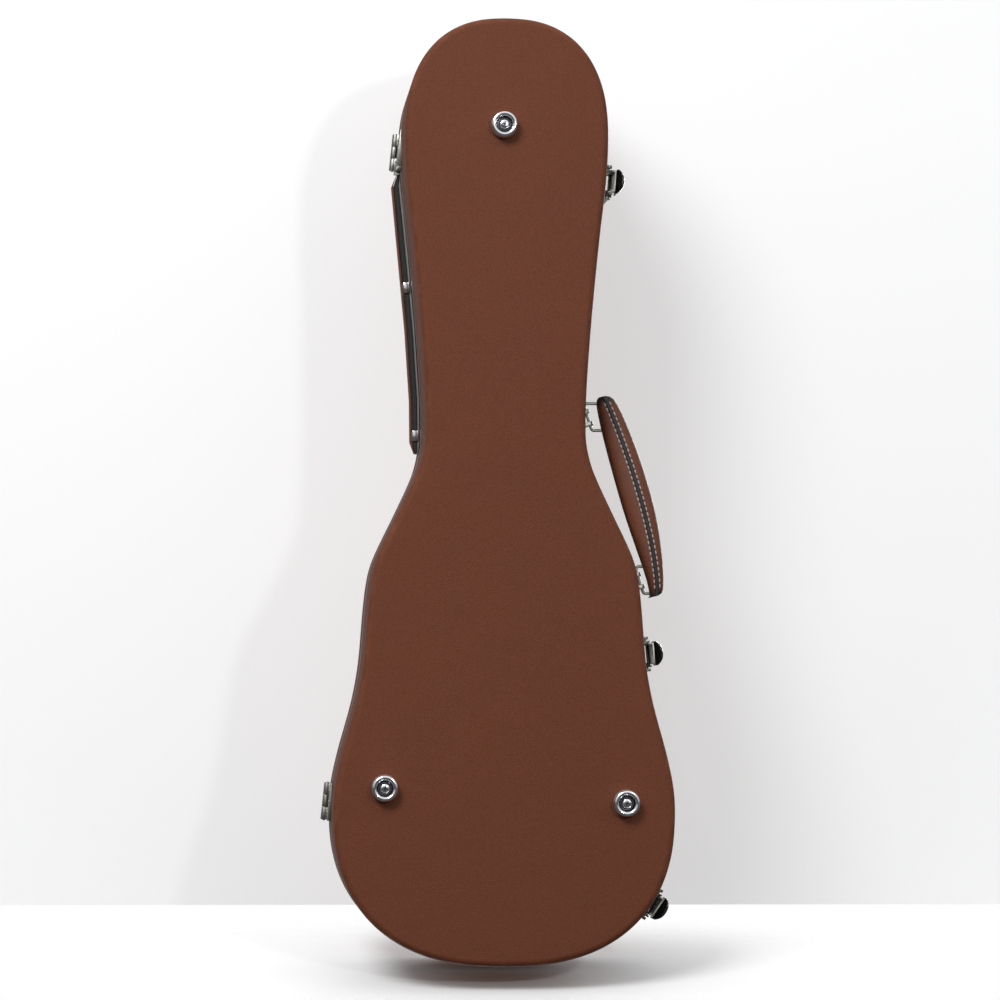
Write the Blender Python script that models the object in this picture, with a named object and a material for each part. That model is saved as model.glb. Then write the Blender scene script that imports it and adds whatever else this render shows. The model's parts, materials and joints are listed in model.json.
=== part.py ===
"""Hard case for a concert ukulele, closed, lying on its three feet.

Metres, +Z up. +Y runs from the tail end to the head end, +X is the hinge side, -X the opening side
with the handle and the latches. The feet stand on z = 0, and the origin lies under the middle of
the whole case. Each piece of the real case is one object.
"""

import math

import bmesh
import bpy
from mathutils import Matrix, Vector

# Outline of the case, seen from above
LENGTH = 0.660
LOWER_BOUT_WIDTH = 0.237
LOWER_BOUT_AT = 0.1636 * LENGTH
TAIL_SQUARENESS = 2.4
WAIST_WIDTH = 0.192
WAIST_AT = 0.3561 * LENGTH
WAIST_SLOPE = -0.08
SHOULDER_WIDTH = 0.1852
SHOULDER_AT = 0.4061 * LENGTH
NECK_WIDTH = 0.1112
NECK_AT = 0.5636 * LENGTH
HEAD_WIDTH = 0.1424
HEAD_AT = 0.8727 * LENGTH
HEAD_SQUARENESS = 2.4
HALF_SEGMENTS = 37

# Shell
FOOT_HEIGHT = 0.008
PANEL_THICKNESS = 0.006
EDGE_RADIUS = 0.005
WALL = 0.005
BODY_DEPTH = 0.076
LID_DEPTH = 0.034
VALANCE_SHEET = 0.0012
VALANCE_BAND = 0.0075
VALANCE_LIP = 0.004
VALANCE_LIP_GAP = 0.0004
SEAL_WIDTH = 0.0042
SEAL_THICKNESS = 0.0016
LID_EDGE_BAND = 0.003
GAP = 0.0003

# Inside
FLOOR_PAD = 0.010
PADDING = 0.010
PADDING_CROWN = 0.0012
LINING = 0.0055
CRADLE_AT = 0.5 * LENGTH
CRADLE_THICKNESS = 0.014
CRADLE_HEIGHT = 0.048
NECK_NOTCH_WIDTH = 0.052
NECK_NOTCH_DEPTH = 0.016
BOX_LENGTH = 0.17 * LENGTH
BOX_END_THICKNESS = 0.008
DECK_HEIGHT = 0.030
DECK_THICKNESS = 0.003
FLAP_LENGTH = 0.41 * BOX_LENGTH
TAB_WIDTH = 0.012
TAB_HEIGHT = 0.006
TAB_THICKNESS = 0.0008
TAB_FOOT = 0.0010
TAB_SETBACK = 0.006

# Feet: (across from the centre line, from the tail end)
FOOT_DIAMETER = 0.0185
FOOT_CONTACT_DIAMETER = 0.0142
FOOT_CONTACT_WIDTH = 0.0020
FOOT_RECESS = 0.0042
FOOT_RIM_FALL = 0.0004
FOOT_CUP_DRAFT = 0.0002
FOOT_SCREW_HEAD = 0.0078
FOOT_SCREW_RIM = 0.0006
FOOT_SCREW_CROWN = 0.0010
FOOT_SCREW_SHANK = 0.0040
FOOT_SCREW_GRIP = 0.0045
FOOT_LEFT = (0.352 * LOWER_BOUT_WIDTH, 0.1864 * LENGTH)
FOOT_RIGHT = (-0.354 * LOWER_BOUT_WIDTH, 0.1712 * LENGTH)
FOOT_HEAD = (0.0025, 0.8848 * LENGTH)

# Hinges
HINGE_LOWER_AT = 0.1703 * LENGTH
HINGE_HEAD_AT = 0.8706 * LENGTH
HINGE_LENGTH = 0.026
HINGE_BARREL = 0.0046
HINGE_PIN = 0.0020
HINGE_PIN_CLEARANCE = 0.00025
HINGE_KNUCKLE_GAP = 0.0003
HINGE_AXIS_OUT = 0.0030
HINGE_LEAF = 0.0013
HINGE_LEAF_CLEARANCE = 0.0006
HINGE_WEB_LAP = 0.0010
HINGE_PIN_OVERHANG = 0.0006
HINGE_BODY_LEAF_HEIGHT = 0.024
HINGE_LID_LEAF_HEIGHT = 0.018

# Latches
LATCH_HEAD_AT = 0.8379 * LENGTH
LATCH_MIDDLE_AT = 0.3276 * LENGTH
LATCH_TAIL_AT = 0.0667 * LENGTH
LATCH_LENGTH = 0.030
LATCH_BASE = 0.0030
LATCH_BASE_TOP = 0.004
LATCH_BASE_HEIGHT = 0.029
LATCH_PIVOT_OUT = 0.0049
LATCH_PIVOT_DOWN = 0.012
LATCH_CRANK_IN = 0.0020
LATCH_CRANK_DOWN = 0.0080
LATCH_PIN = 0.0024
LATCH_PIN_CLEARANCE = 0.00025
LATCH_EAR_WALL = 0.0013
LATCH_EAR_ROOT = 0.0012
LATCH_EAR_FLARE = 0.0010
LATCH_EAR_GAUGE = 0.0014
LATCH_EAR_SPACING = 0.0160
LEVER_WIDTH = 0.0150
LEVER_SHEET = 0.0013
LEVER_LENGTH = 0.0205
LEVER_STUB_WALL = 0.0009
LEVER_STUB_PLAY = 0.0002
LEVER_CROWN = 0.0011
LEVER_CHAMFER = 0.0008
LEVER_BACK = 0.0021
LEVER_FRONT = 0.0026
COVER_WIDTH = 0.0172
COVER_LENGTH = 0.0225
COVER_THICKNESS = 0.0050
COVER_LIP = 0.0012
COVER_END_TRIM = 0.0030
HASP_ARM_GAP = 0.0009
HASP_ARM = 0.0020
HASP_GAUGE = 0.0022
HASP_BAR = 0.0020
HASP_REACH = 0.0026
HASP_NECK = 0.0010
HASP_BAR_INSET = 0.0002
HASP_BAR_ROUND = 0.0005
KEEPER_PLATE = 0.0014
KEEPER_BOTTOM = 0.0042
KEEPER_HEIGHT = 0.014
KEEPER_WIDTH = 0.020
KEEPER_LEDGE_WIDTH = 0.018
KEEPER_LEDGE = 0.0020
KEEPER_LEDGE_TOP = 0.0108
KEEPER_LEDGE_END = 0.0027
KEEPER_LEDGE_ROOT = 0.0010
KEEPER_LEDGE_ROUND = 0.0004
RIVET = 0.0036
RIVET_INSET = 0.0036
RIVET_HEIGHT = 0.0008
RIVET_ROUND = 0.0005

# Handle
HANDLE_LOWER_AT = 0.4053 * LENGTH
HANDLE_SPAN = 0.116
HANDLE_UPPER_AT = HANDLE_LOWER_AT + HANDLE_SPAN
HANDLE_Z = 0.052
HANDLE_EYE_OUT = 0.0054
GRIP_LENGTH = HANDLE_SPAN + 0.030
GRIP_WIDTH = 0.0220
GRIP_BOW = 0.0053
GRIP_END_WIDTH = 0.0092
GRIP_TIP_WIDTH = 0.0070
GRIP_THICKNESS = 0.0150
GRIP_END_THICKNESS = 0.0090
GRIP_OUT = 0.0100
GRIP_SHIFT = 0.0012
GRIP_SKEW = math.radians(3.2)
WELT_WIDTH = 0.0030
WELT_HEIGHT = 0.0010
WELT_OFFSET = 0.0024
WIRE = 0.0022
WIRE_CLEARANCE = 0.00025
LOOP_LENGTH = 0.020
LOOP_CORNER = 0.0022
LOOP_SEAT = 0.0040
EYE_WIDTH = 0.0032
EYE_SPACING = 0.0090
EYE_RADIUS = 0.0023
EYE_ROOT = 0.012
BRACKET_LENGTH = 0.016
BRACKET_HEIGHT = 0.011
BRACKET_BASE = 0.0012

# Guard along the lid's edge beside the neck
GUARD_FROM = 0.5444 * LENGTH
GUARD_TO = HINGE_HEAD_AT - HINGE_LENGTH / 2 - 0.0022
GUARD_LOW = 0.0034
GUARD_HEIGHT = 0.015
GUARD_BACKING = 0.0016
GUARD_THICKNESS = 0.0032
GUARD_FACING = 0.0011
GUARD_TAPER = 0.0088
CLIP_LOWER_AT = 0.5638 * LENGTH
CLIP_UPPER_AT = 0.7250 * LENGTH
CLIP_LENGTH = 0.0075
CLIP_SHEET = 0.0009
CLIP_FOOT = 0.0030

# Heights that follow from the sizes above
PANEL_BOTTOM = FOOT_HEIGHT
PANEL_TOP = PANEL_BOTTOM + PANEL_THICKNESS
SEAM = PANEL_BOTTOM + BODY_DEPTH
TOP = SEAM + LID_DEPTH
LID_PANEL_BOTTOM = TOP - PANEL_THICKNESS
FLOOR = PANEL_TOP + GAP
PAD_TOP = FLOOR + FLOOR_PAD
INNER = WALL + GAP
PADDING_FACE = INNER + PADDING
CLEAR_OF_PADDING = PADDING_FACE + PADDING_CROWN + GAP
DECK_TOP = PAD_TOP + DECK_HEIGHT

# Start from an empty scene
for old in list(bpy.data.objects):
    bpy.data.objects.remove(old, do_unlink=True)


def finish(name, rgb, roughness, metallic=0.0):
    material = bpy.data.materials.new(name)
    material.use_nodes = True
    shader = material.node_tree.nodes["Principled BSDF"]
    shader.inputs["Base Color"].default_value = (*rgb, 1.0)
    shader.inputs["Roughness"].default_value = roughness
    shader.inputs["Metallic"].default_value = metallic
    return material


LEATHERETTE = ((0.150, 0.062, 0.036), 0.62)
PLUSH = ((0.030, 0.028, 0.030), 0.95)
CHROME = ((0.80, 0.80, 0.82), 0.12, 1.0)
NICKEL = ((0.62, 0.61, 0.59), 0.32, 1.0)
SATIN = ((0.46, 0.45, 0.44), 0.45, 1.0)
BLACK_LACQUER = ((0.012, 0.012, 0.013), 0.30)
BLACK_RUBBER = ((0.014, 0.013, 0.013), 0.75)
HANDLE_LEATHER = ((0.120, 0.048, 0.030), 0.55)
WELT_LEATHER = ((0.045, 0.020, 0.015), 0.60)
RIBBON = ((0.060, 0.012, 0.014), 0.80)


# Outline
def superellipse(width, length, squareness, step):
    """Point of a quarter of a squarish arch, from its tip (step 0) to its full width (step 1)."""
    angle = step * math.pi / 2
    across = width * math.sin(angle) ** (2 / squareness)
    along = length * (1 - math.cos(angle) ** (2 / squareness))
    return across, along


def hermite(a, b, at):
    (y0, w0, s0), (y1, w1, s1) = a, b
    span = y1 - y0
    t = (at - y0) / span
    return (
        w0 * (2 * t**3 - 3 * t**2 + 1)
        + w1 * (3 * t**2 - 2 * t**3)
        + span * (s0 * (t**3 - 2 * t**2 + t) + s1 * (t**3 - t**2))
    )


BOUT_TO_WAIST = WAIST_AT - LOWER_BOUT_AT
SHOULDER_TO_NECK = NECK_AT - SHOULDER_AT
BOUT_DROP = (LOWER_BOUT_WIDTH - WAIST_WIDTH) / 2
SHOULDER_DROP = (SHOULDER_WIDTH - NECK_WIDTH) / 2
HEAD_RISE = (HEAD_WIDTH - NECK_WIDTH) / 2
FLANK = (
    (LOWER_BOUT_AT, LOWER_BOUT_WIDTH / 2, 0.0),
    (
        LOWER_BOUT_AT + 0.45 * BOUT_TO_WAIST,
        LOWER_BOUT_WIDTH / 2 - 0.49 * BOUT_DROP,
        -1.63 * BOUT_DROP / BOUT_TO_WAIST,
    ),
    (
        LOWER_BOUT_AT + 0.72 * BOUT_TO_WAIST,
        LOWER_BOUT_WIDTH / 2 - 0.84 * BOUT_DROP,
        -0.96 * BOUT_DROP / BOUT_TO_WAIST,
    ),
    (WAIST_AT, WAIST_WIDTH / 2, WAIST_SLOPE),
    (SHOULDER_AT, SHOULDER_WIDTH / 2, 2 * WAIST_SLOPE),
    (
        SHOULDER_AT + 0.34 * SHOULDER_TO_NECK,
        SHOULDER_WIDTH / 2 - 0.35 * SHOULDER_DROP,
        -1.40 * SHOULDER_DROP / SHOULDER_TO_NECK,
    ),
    (
        SHOULDER_AT + 0.69 * SHOULDER_TO_NECK,
        SHOULDER_WIDTH / 2 - 0.82 * SHOULDER_DROP,
        -1.12 * SHOULDER_DROP / SHOULDER_TO_NECK,
    ),
    (NECK_AT, NECK_WIDTH / 2, 0.0),
    (
        NECK_AT + 0.53 * (HEAD_AT - NECK_AT),
        NECK_WIDTH / 2 + 0.44 * HEAD_RISE,
        1.14 * HEAD_RISE / (HEAD_AT - NECK_AT),
    ),
    (HEAD_AT, HEAD_WIDTH / 2, 0.0),
)


def half_width(at):
    """Half width of the case at a distance from its tail end."""
    if at <= LOWER_BOUT_AT:
        share = max(0.0, 1 - at / LOWER_BOUT_AT)
        return LOWER_BOUT_WIDTH / 2 * (1 - share**TAIL_SQUARENESS) ** (1 / TAIL_SQUARENESS)
    if at >= HEAD_AT:
        share = min(1.0, (at - HEAD_AT) / (LENGTH - HEAD_AT))
        return HEAD_WIDTH / 2 * (1 - share**HEAD_SQUARENESS) ** (1 / HEAD_SQUARENESS)
    for a, b in zip(FLANK, FLANK[1:]):
        if a[0] <= at <= b[0]:
            return hermite(a, b, at)
    raise ValueError(at)


def half_outline():
    """Points of the +X half of the outline, tail to head, closer together where it curves."""
    fine = [superellipse(LOWER_BOUT_WIDTH / 2, LOWER_BOUT_AT, TAIL_SQUARENESS, i / 120) for i in range(120)]
    span = HEAD_AT - LOWER_BOUT_AT
    fine += [(half_width(LOWER_BOUT_AT + span * i / 300), LOWER_BOUT_AT + span * i / 300) for i in range(301)]
    for i in reversed(range(120)):
        across, along = superellipse(HEAD_WIDTH / 2, LENGTH - HEAD_AT, HEAD_SQUARENESS, i / 120)
        fine.append((across, LENGTH - along))
    heading = [math.atan2(b[1] - a[1], b[0] - a[0]) for a, b in zip(fine, fine[1:])]
    cost = [0.0]
    for i, (a, b) in enumerate(zip(fine, fine[1:])):
        turn = abs(heading[i] - heading[max(i - 1, 0)])
        cost.append(cost[-1] + math.dist(a, b) / 0.055 + turn / math.radians(9))
    points, j = [], 0
    for i in range(HALF_SEGMENTS + 1):
        wanted = cost[-1] * i / HALF_SEGMENTS
        while j < len(cost) - 2 and cost[j + 1] < wanted:
            j += 1
        share = (wanted - cost[j]) / (cost[j + 1] - cost[j])
        (x0, y0), (x1, y1) = fine[j], fine[j + 1]
        points.append((x0 + share * (x1 - x0), y0 + share * (y1 - y0)))
    points[0], points[-1] = (0.0, 0.0), (0.0, LENGTH)
    return points


RIGHT = half_outline()
OUTLINE = [Vector(p) for p in RIGHT] + [Vector((-x, y)) for x, y in reversed(RIGHT[1:-1])]


def outline_at(inset):
    """The outline, anticlockwise from the tail end, moved inwards by inset everywhere."""
    moved = []
    count = len(OUTLINE)
    for i, point in enumerate(OUTLINE):
        before = (point - OUTLINE[i - 1]).normalized()
        after = (OUTLINE[(i + 1) % count] - point).normalized()
        n0, n1 = Vector((before.y, -before.x)), Vector((after.y, -after.x))
        moved.append(point - (n0 + n1) * (inset / (1 + n0.dot(n1))))
    return moved


# Building blocks
ROOT = bpy.data.objects.new("ukulele_case", None)
bpy.context.scene.collection.objects.link(ROOT)
PLACES = {"ukulele_case": Matrix.Identity(4)}
PIECES = []


def pivot(name, place, parent="ukulele_case"):
    """An empty on a moving group's axis."""
    empty = bpy.data.objects.new(name, None)
    empty.empty_display_size = 0.02
    bpy.context.scene.collection.objects.link(empty)
    empty.parent = bpy.data.objects[parent]
    empty.matrix_parent_inverse = PLACES[parent].inverted()
    empty.matrix_basis = place
    PLACES[name] = place.copy()
    return name


def add(name, bm, look, parent="ukulele_case", place=None, smooth=None):
    """One piece: its mesh in its own frame, its finish, and where it stands."""
    bmesh.ops.recalc_face_normals(bm, faces=bm.faces)
    mesh = bpy.data.meshes.new(name)
    bm.to_mesh(mesh)
    bm.free()
    piece = bpy.data.objects.new(name, mesh)
    bpy.context.scene.collection.objects.link(piece)
    mesh.materials.append(finish(name, *look))
    if smooth is not None:
        mesh.shade_smooth()
        mesh.set_sharp_from_angle(angle=math.radians(smooth))
    place = place or Matrix.Identity(4)
    piece.parent = bpy.data.objects[parent]
    piece.matrix_parent_inverse = PLACES[parent].inverted()
    piece.matrix_basis = place
    PLACES[name] = place.copy()
    PIECES.append(piece)
    return piece


def combine(piece, bm, operation):
    """Cuts or joins a second solid, given in the piece's own frame."""
    bmesh.ops.recalc_face_normals(bm, faces=bm.faces)
    mesh = bpy.data.meshes.new("tool")
    bm.to_mesh(mesh)
    bm.free()
    tool = bpy.data.objects.new("tool", mesh)
    bpy.context.scene.collection.objects.link(tool)
    tool.matrix_world = piece.matrix_basis
    carrier, offset = piece.parent, piece.matrix_parent_inverse.copy()
    piece.parent = None
    change = piece.modifiers.new("change", "BOOLEAN")
    change.operation = operation
    change.solver = "EXACT"
    change.object = tool
    bpy.context.view_layer.update()
    seen = piece.evaluated_get(bpy.context.evaluated_depsgraph_get())
    result = bpy.data.meshes.new_from_object(seen)
    piece.modifiers.clear()
    piece.data = result
    piece.parent = carrier
    piece.matrix_parent_inverse = offset
    bpy.data.objects.remove(tool, do_unlink=True)
    return piece


def bridge(bm, lower, upper):
    count = len(lower)
    for i in range(count):
        bm.faces.new((lower[i], lower[(i + 1) % count], upper[(i + 1) % count], upper[i]))


def stacked(rings):
    """A solid through closed rings of points, capped at both ends."""
    bm = bmesh.new()
    loops = [[bm.verts.new(p) for p in ring] for ring in rings]
    for lower, upper in zip(loops, loops[1:]):
        bridge(bm, lower, upper)
    bm.faces.new(list(reversed(loops[0])))
    bm.faces.new(loops[-1])
    return bm


def case_rings(profile):
    return [[(p.x, p.y, z) for p in outline_at(inset)] for inset, z in profile]


def case_panel(profile):
    """A panel of the case's outline: its edge runs through (inset, height)."""
    return stacked(case_rings(profile))


def case_band(profile):
    """A band round the case: a closed section of (inset, height)."""
    bm = bmesh.new()
    loops = [[bm.verts.new(p) for p in ring] for ring in case_rings(profile)]
    for i, lower in enumerate(loops):
        bridge(bm, lower, loops[(i + 1) % len(loops)])
    return bm


def prism(points, z0, z1):
    return stacked([[(x, y, z0) for x, y in points], [(x, y, z1) for x, y in points]])


def block(x0, x1, y0, y1, z0, z1):
    return prism([(x0, y0), (x1, y0), (x1, y1), (x0, y1)], z0, z1)


ALONG = {"X": Matrix.Rotation(math.pi / 2, 4, "Y"), "Y": Matrix.Rotation(math.pi / 2, 4, "X"), "Z": Matrix()}


def rod(radius, length, middle, axis="Z", segments=12):
    """A round bar about a point, along X, Y or Z."""
    bm = bmesh.new()
    bmesh.ops.create_cone(
        bm, cap_ends=True, segments=segments, radius1=radius, radius2=radius, depth=length,
        matrix=Matrix.Translation(middle) @ ALONG[axis],
    )
    return bm


def turned(section, segments=24):
    """A turned piece: a closed section of (radius, height) spun about Z."""
    bm = bmesh.new()
    verts = [bm.verts.new((r, 0, z)) for r, z in section]
    edges = [bm.edges.new((a, b)) for a, b in zip(verts, verts[1:])]
    if section[0][0] > 0:
        edges.append(bm.edges.new((verts[-1], verts[0])))
    bmesh.ops.spin(
        bm, geom=verts + edges, axis=(0, 0, 1), cent=(0, 0, 0), angle=2 * math.pi, steps=segments,
        use_duplicate=False,
    )
    bmesh.ops.remove_doubles(bm, verts=bm.verts, dist=0.00001)
    return bm


def soften(bm, width, segments=2, angle=40):
    """Rounds the edges that turn by more than an angle."""
    sharp = [e for e in bm.edges if len(e.link_faces) == 2 and e.calc_face_angle(0) > math.radians(angle)]
    bmesh.ops.bevel(bm, geom=sharp, offset=width, segments=segments, profile=0.5, affect="EDGES")
    return bm


def arc(cx, cy, radius, start, end, steps):
    """Points of an arc, in degrees, ends included."""
    angles = [math.radians(start + (end - start) * i / steps) for i in range(steps + 1)]
    return [(cx + radius * math.cos(a), cy + radius * math.sin(a)) for a in angles]


# Frames on the flank
def flank_point(at, side):
    return Vector((side * half_width(at), at, 0))


def plan_frame(origin, outward):
    """x runs outwards, y along the flank, z up."""
    n = outward.normalized()
    t = Vector((0, 0, 1)).cross(n)
    return Matrix(((n.x, t.x, 0, origin.x), (n.y, t.y, 0, origin.y), (0, 0, 1, 0), (0, 0, 0, 1)))


def flank_frame(at, side):
    step = 0.001
    along = flank_point(at + step, side) - flank_point(at - step, side)
    outward = Vector((along.y, -along.x, 0)) * side
    return plan_frame(flank_point(at, side), outward)


def flank_line(frame, y0, y1, out=0.0):
    """The flank from y0 to y1 in a frame beside it, moved outwards."""
    back = frame.inverted()
    near = []
    for point in outline_at(-out):
        local = back @ Vector((point.x, point.y, 0))
        if local.x > -0.05 and abs(local.y) < 0.12:
            near.append((local.x, local.y))
    near.sort(key=lambda p: p[1])

    def at(y):
        for (xa, ya), (xb, yb) in zip(near, near[1:]):
            if ya <= y <= yb:
                return (xa + (xb - xa) * (y - ya) / (yb - ya), y)
        raise ValueError(y)

    return [at(y0)] + [p for p in near if y0 + 1e-5 < p[1] < y1 - 1e-5] + [at(y1)]


def flank_plate(frame, length, front, z0, z1):
    """A plate with its back on the flank and a flat front, a distance out from the flank's crest."""
    back = flank_line(frame, -length / 2, length / 2, GAP)
    face = max(x for x, _ in back) - GAP + front
    return prism([(face, -length / 2), (face, length / 2)] + list(reversed(back)), z0, z1), face


def case_across(inset, y0, y1):
    """Plan of what fills the case from side to side between two distances from the tail."""
    right = [p for p in outline_at(inset)[: len(RIGHT)]]

    def at(y):
        for a, b in zip(right, right[1:]):
            if a.y <= y <= b.y:
                return (a.x + (b.x - a.x) * (y - a.y) / (b.y - a.y), y)
        raise ValueError(y)

    edge = [at(y0)] + [(p.x, p.y) for p in right if y0 + 1e-4 < p.y < y1 - 1e-4] + [at(y1)]
    return edge + [(-x, y) for x, y in reversed(edge)]


# Body of the case
def rounded_edge(flat, step):
    """Edge of a panel from its flat face to its side; step is +1 upwards, -1 downwards."""
    profile = []
    for i in range(5):
        angle = math.radians(90 * i / 4)
        inset = EDGE_RADIUS * (1 - math.sin(angle))
        profile.append((inset, flat + step * EDGE_RADIUS * (1 - math.cos(angle))))
    return profile


def build_body():
    edge = rounded_edge(PANEL_BOTTOM, 1)
    back = add("back_panel", case_panel(edge + [(0, PANEL_TOP)]), LEATHERETTE, smooth=25)
    for across, along in (FOOT_LEFT, FOOT_RIGHT, FOOT_HEAD):
        hole = rod(FOOT_SCREW_SHANK / 2 + GAP, 2 * FOOT_SCREW_GRIP, (across, along, PANEL_BOTTOM))
        combine(back, hole, "DIFFERENCE")

    rim_top = SEAM - 2 * VALANCE_SHEET - GAP
    band_bottom = SEAM - VALANCE_BAND - VALANCE_SHEET
    add(
        "body_rim",
        case_band([
            (0, FLOOR), (0, band_bottom - GAP), (VALANCE_SHEET + GAP, band_bottom - GAP),
            (VALANCE_SHEET + GAP, rim_top), (WALL, rim_top), (WALL, FLOOR),
        ]),
        LEATHERETTE, smooth=25,
    )
    web_top = SEAM - VALANCE_SHEET
    lip = WALL + VALANCE_LIP_GAP
    add(
        "body_valance",
        case_band([
            (0, band_bottom), (0, web_top), (lip, web_top), (lip, SEAM + VALANCE_LIP),
            (lip + VALANCE_SHEET, SEAM + VALANCE_LIP), (lip + VALANCE_SHEET, rim_top + GAP),
            (VALANCE_SHEET, rim_top + GAP), (VALANCE_SHEET, band_bottom),
        ]),
        SATIN, smooth=25,
    )
    seal_in = (WALL - SEAL_WIDTH) / 2
    add(
        "seam_gasket",
        case_band([
            (seal_in, web_top + GAP), (seal_in, web_top + GAP + SEAL_THICKNESS),
            (seal_in + SEAL_WIDTH, web_top + GAP + SEAL_THICKNESS), (seal_in + SEAL_WIDTH, web_top + GAP),
        ]),
        BLACK_RUBBER, smooth=25,
    )


def build_feet():
    outer, contact = FOOT_DIAMETER / 2, FOOT_CONTACT_DIAMETER / 2
    bore = FOOT_SCREW_SHANK / 2 + GAP
    inner = contact - FOOT_CONTACT_WIDTH
    well = inner - FOOT_RIM_FALL - FOOT_CUP_DRAFT
    flare = outer - contact
    cup = [
        (bore, FOOT_HEIGHT - GAP), (outer, FOOT_HEIGHT - GAP), (outer, 0.72 * FOOT_HEIGHT),
        (outer - 0.25 * flare, 0.40 * FOOT_HEIGHT), (contact + 0.35 * flare, 0.10 * FOOT_HEIGHT),
        (contact, 0.0), (inner, 0.0), (inner - FOOT_RIM_FALL, FOOT_RIM_FALL + 0.0001), (well, FOOT_RECESS),
        (bore, FOOT_RECESS),
    ]
    head = min(FOOT_SCREW_HEAD / 2, well - GAP)
    base = FOOT_RECESS - GAP
    shoulder = base - FOOT_SCREW_RIM
    rise = shoulder - FOOT_SCREW_CROWN
    shank_top = PANEL_BOTTOM + FOOT_SCREW_GRIP - GAP
    dome = []
    for degrees in (0, 25, 50, 72):
        angle = math.radians(degrees)
        dome.append((head * math.cos(angle), shoulder - rise * math.sin(angle)))
    screw = (
        [(0, shank_top), (FOOT_SCREW_SHANK / 2, shank_top), (FOOT_SCREW_SHANK / 2, base), (head, base)]
        + dome
        + [(0, FOOT_SCREW_CROWN)]
    )
    for name, (across, along) in (("left", FOOT_LEFT), ("right", FOOT_RIGHT), ("head", FOOT_HEAD)):
        place = Matrix.Translation((across, along, 0))
        add(f"foot_{name}", turned(cup), CHROME, place=place, smooth=30)
        add(f"foot_{name}_screw", turned(screw, 16), CHROME, place=place, smooth=40)


# Padding and accessory box
def build_inside():
    soft_edge = 0.003
    add(
        "floor_pad",
        case_panel([
            (INNER, FLOOR), (INNER, PAD_TOP - soft_edge), (INNER + soft_edge, PAD_TOP - soft_edge / 4),
            (INNER + 3 * soft_edge, PAD_TOP),
        ]),
        PLUSH, smooth=50,
    )
    low, high = PAD_TOP + GAP, SEAM - 3 * VALANCE_SHEET - 0.004
    middle = (low + high) / 2
    add(
        "rim_padding",
        case_band([
            (INNER, low), (INNER, high - soft_edge), (INNER + soft_edge, high),
            (PADDING_FACE - soft_edge, high), (PADDING_FACE, high - soft_edge),
            (PADDING_FACE + PADDING_CROWN, middle), (PADDING_FACE, low),
        ]),
        PLUSH, smooth=50,
    )

    start = CRADLE_AT
    inside = start + CRADLE_THICKNESS
    cradle_top = PAD_TOP + CRADLE_HEIGHT
    cradle = add(
        "neck_cradle",
        soften(prism(case_across(CLEAR_OF_PADDING, start, inside), PAD_TOP + GAP, cradle_top), 0.0022, 2, 60),
        PLUSH, smooth=50,
    )
    half = NECK_NOTCH_WIDTH / 2
    bottom = cradle_top - NECK_NOTCH_DEPTH
    notch_profile = (
        [(-half - 0.004, cradle_top + 0.01), (-half, cradle_top - 0.002)]
        + arc(-half + 0.010, bottom + 0.010, 0.010, 180, 270, 4)
        + arc(half - 0.010, bottom + 0.010, 0.010, 270, 360, 4)
        + [(half, cradle_top - 0.002), (half + 0.004, cradle_top + 0.01)]
    )
    notch = stacked([[(x, y, z) for x, z in notch_profile] for y in (start - 0.01, inside + 0.01)])
    combine(cradle, notch, "DIFFERENCE")

    end = inside + BOX_LENGTH
    deck_bottom = DECK_TOP - DECK_THICKNESS
    add(
        "compartment_end_wall",
        prism(case_across(CLEAR_OF_PADDING, end, end + BOX_END_THICKNESS), PAD_TOP + GAP, DECK_TOP),
        PLUSH,
    )
    flap_start = inside + GAP
    hinge_at = flap_start + FLAP_LENGTH + GAP
    add(
        "compartment_deck",
        prism(case_across(CLEAR_OF_PADDING, hinge_at + GAP, end - GAP), deck_bottom, DECK_TOP),
        PLUSH,
    )
    axis = pivot("compartment_flap_axis", Matrix.Translation((0, hinge_at, DECK_TOP)))
    add(
        "compartment_flap",
        prism(case_across(CLEAR_OF_PADDING + GAP, flap_start, hinge_at - GAP), deck_bottom, DECK_TOP),
        PLUSH, parent=axis,
    )
    rise, foot = TAB_HEIGHT, TAB_HEIGHT * 0.8
    tab_at = flap_start + TAB_SETBACK
    crown = tab_at + foot / 2
    height = rise - TAB_THICKNESS
    outer = [(tab_at - TAB_FOOT, 0), (tab_at - TAB_FOOT, TAB_THICKNESS)]
    inner = []
    for degrees in range(0, 181, 30):
        angle = math.radians(degrees)
        outer.append((crown - foot / 2 * math.cos(angle), TAB_THICKNESS + height * math.sin(angle)))
        inner.append((crown + (foot / 2 - TAB_THICKNESS) * math.cos(angle), height * math.sin(angle)))
    outer += [(tab_at + foot + TAB_FOOT, TAB_THICKNESS), (tab_at + foot + TAB_FOOT, 0)]
    section = outer + inner
    tab = stacked([[(x, y, DECK_TOP + GAP + z) for y, z in section] for x in (-TAB_WIDTH / 2, TAB_WIDTH / 2)])
    add("flap_pull_tab", tab, RIBBON, parent=axis, smooth=40)


# Hinge line
def hinge_tangent():
    """Where one straight line touches the lower bout and the head on the hinge side."""
    slope = (HEAD_WIDTH - LOWER_BOUT_WIDTH) / 2 / (HEAD_AT - LOWER_BOUT_AT)
    bout_stations = [LOWER_BOUT_AT * (0.5 + i / 200) for i in range(200)]
    head_stations = [HEAD_AT + (LENGTH - HEAD_AT) * (i / 200 - 0.5) for i in range(200)]
    for _ in range(12):
        low = max((half_width(y) - slope * y, y) for y in bout_stations)[1]
        high = max((half_width(y) - slope * y, y) for y in head_stations)[1]
        slope = (half_width(high) - half_width(low)) / (high - low)
    return Vector((half_width(low), low, 0)), Vector((half_width(high), high, 0))


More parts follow.
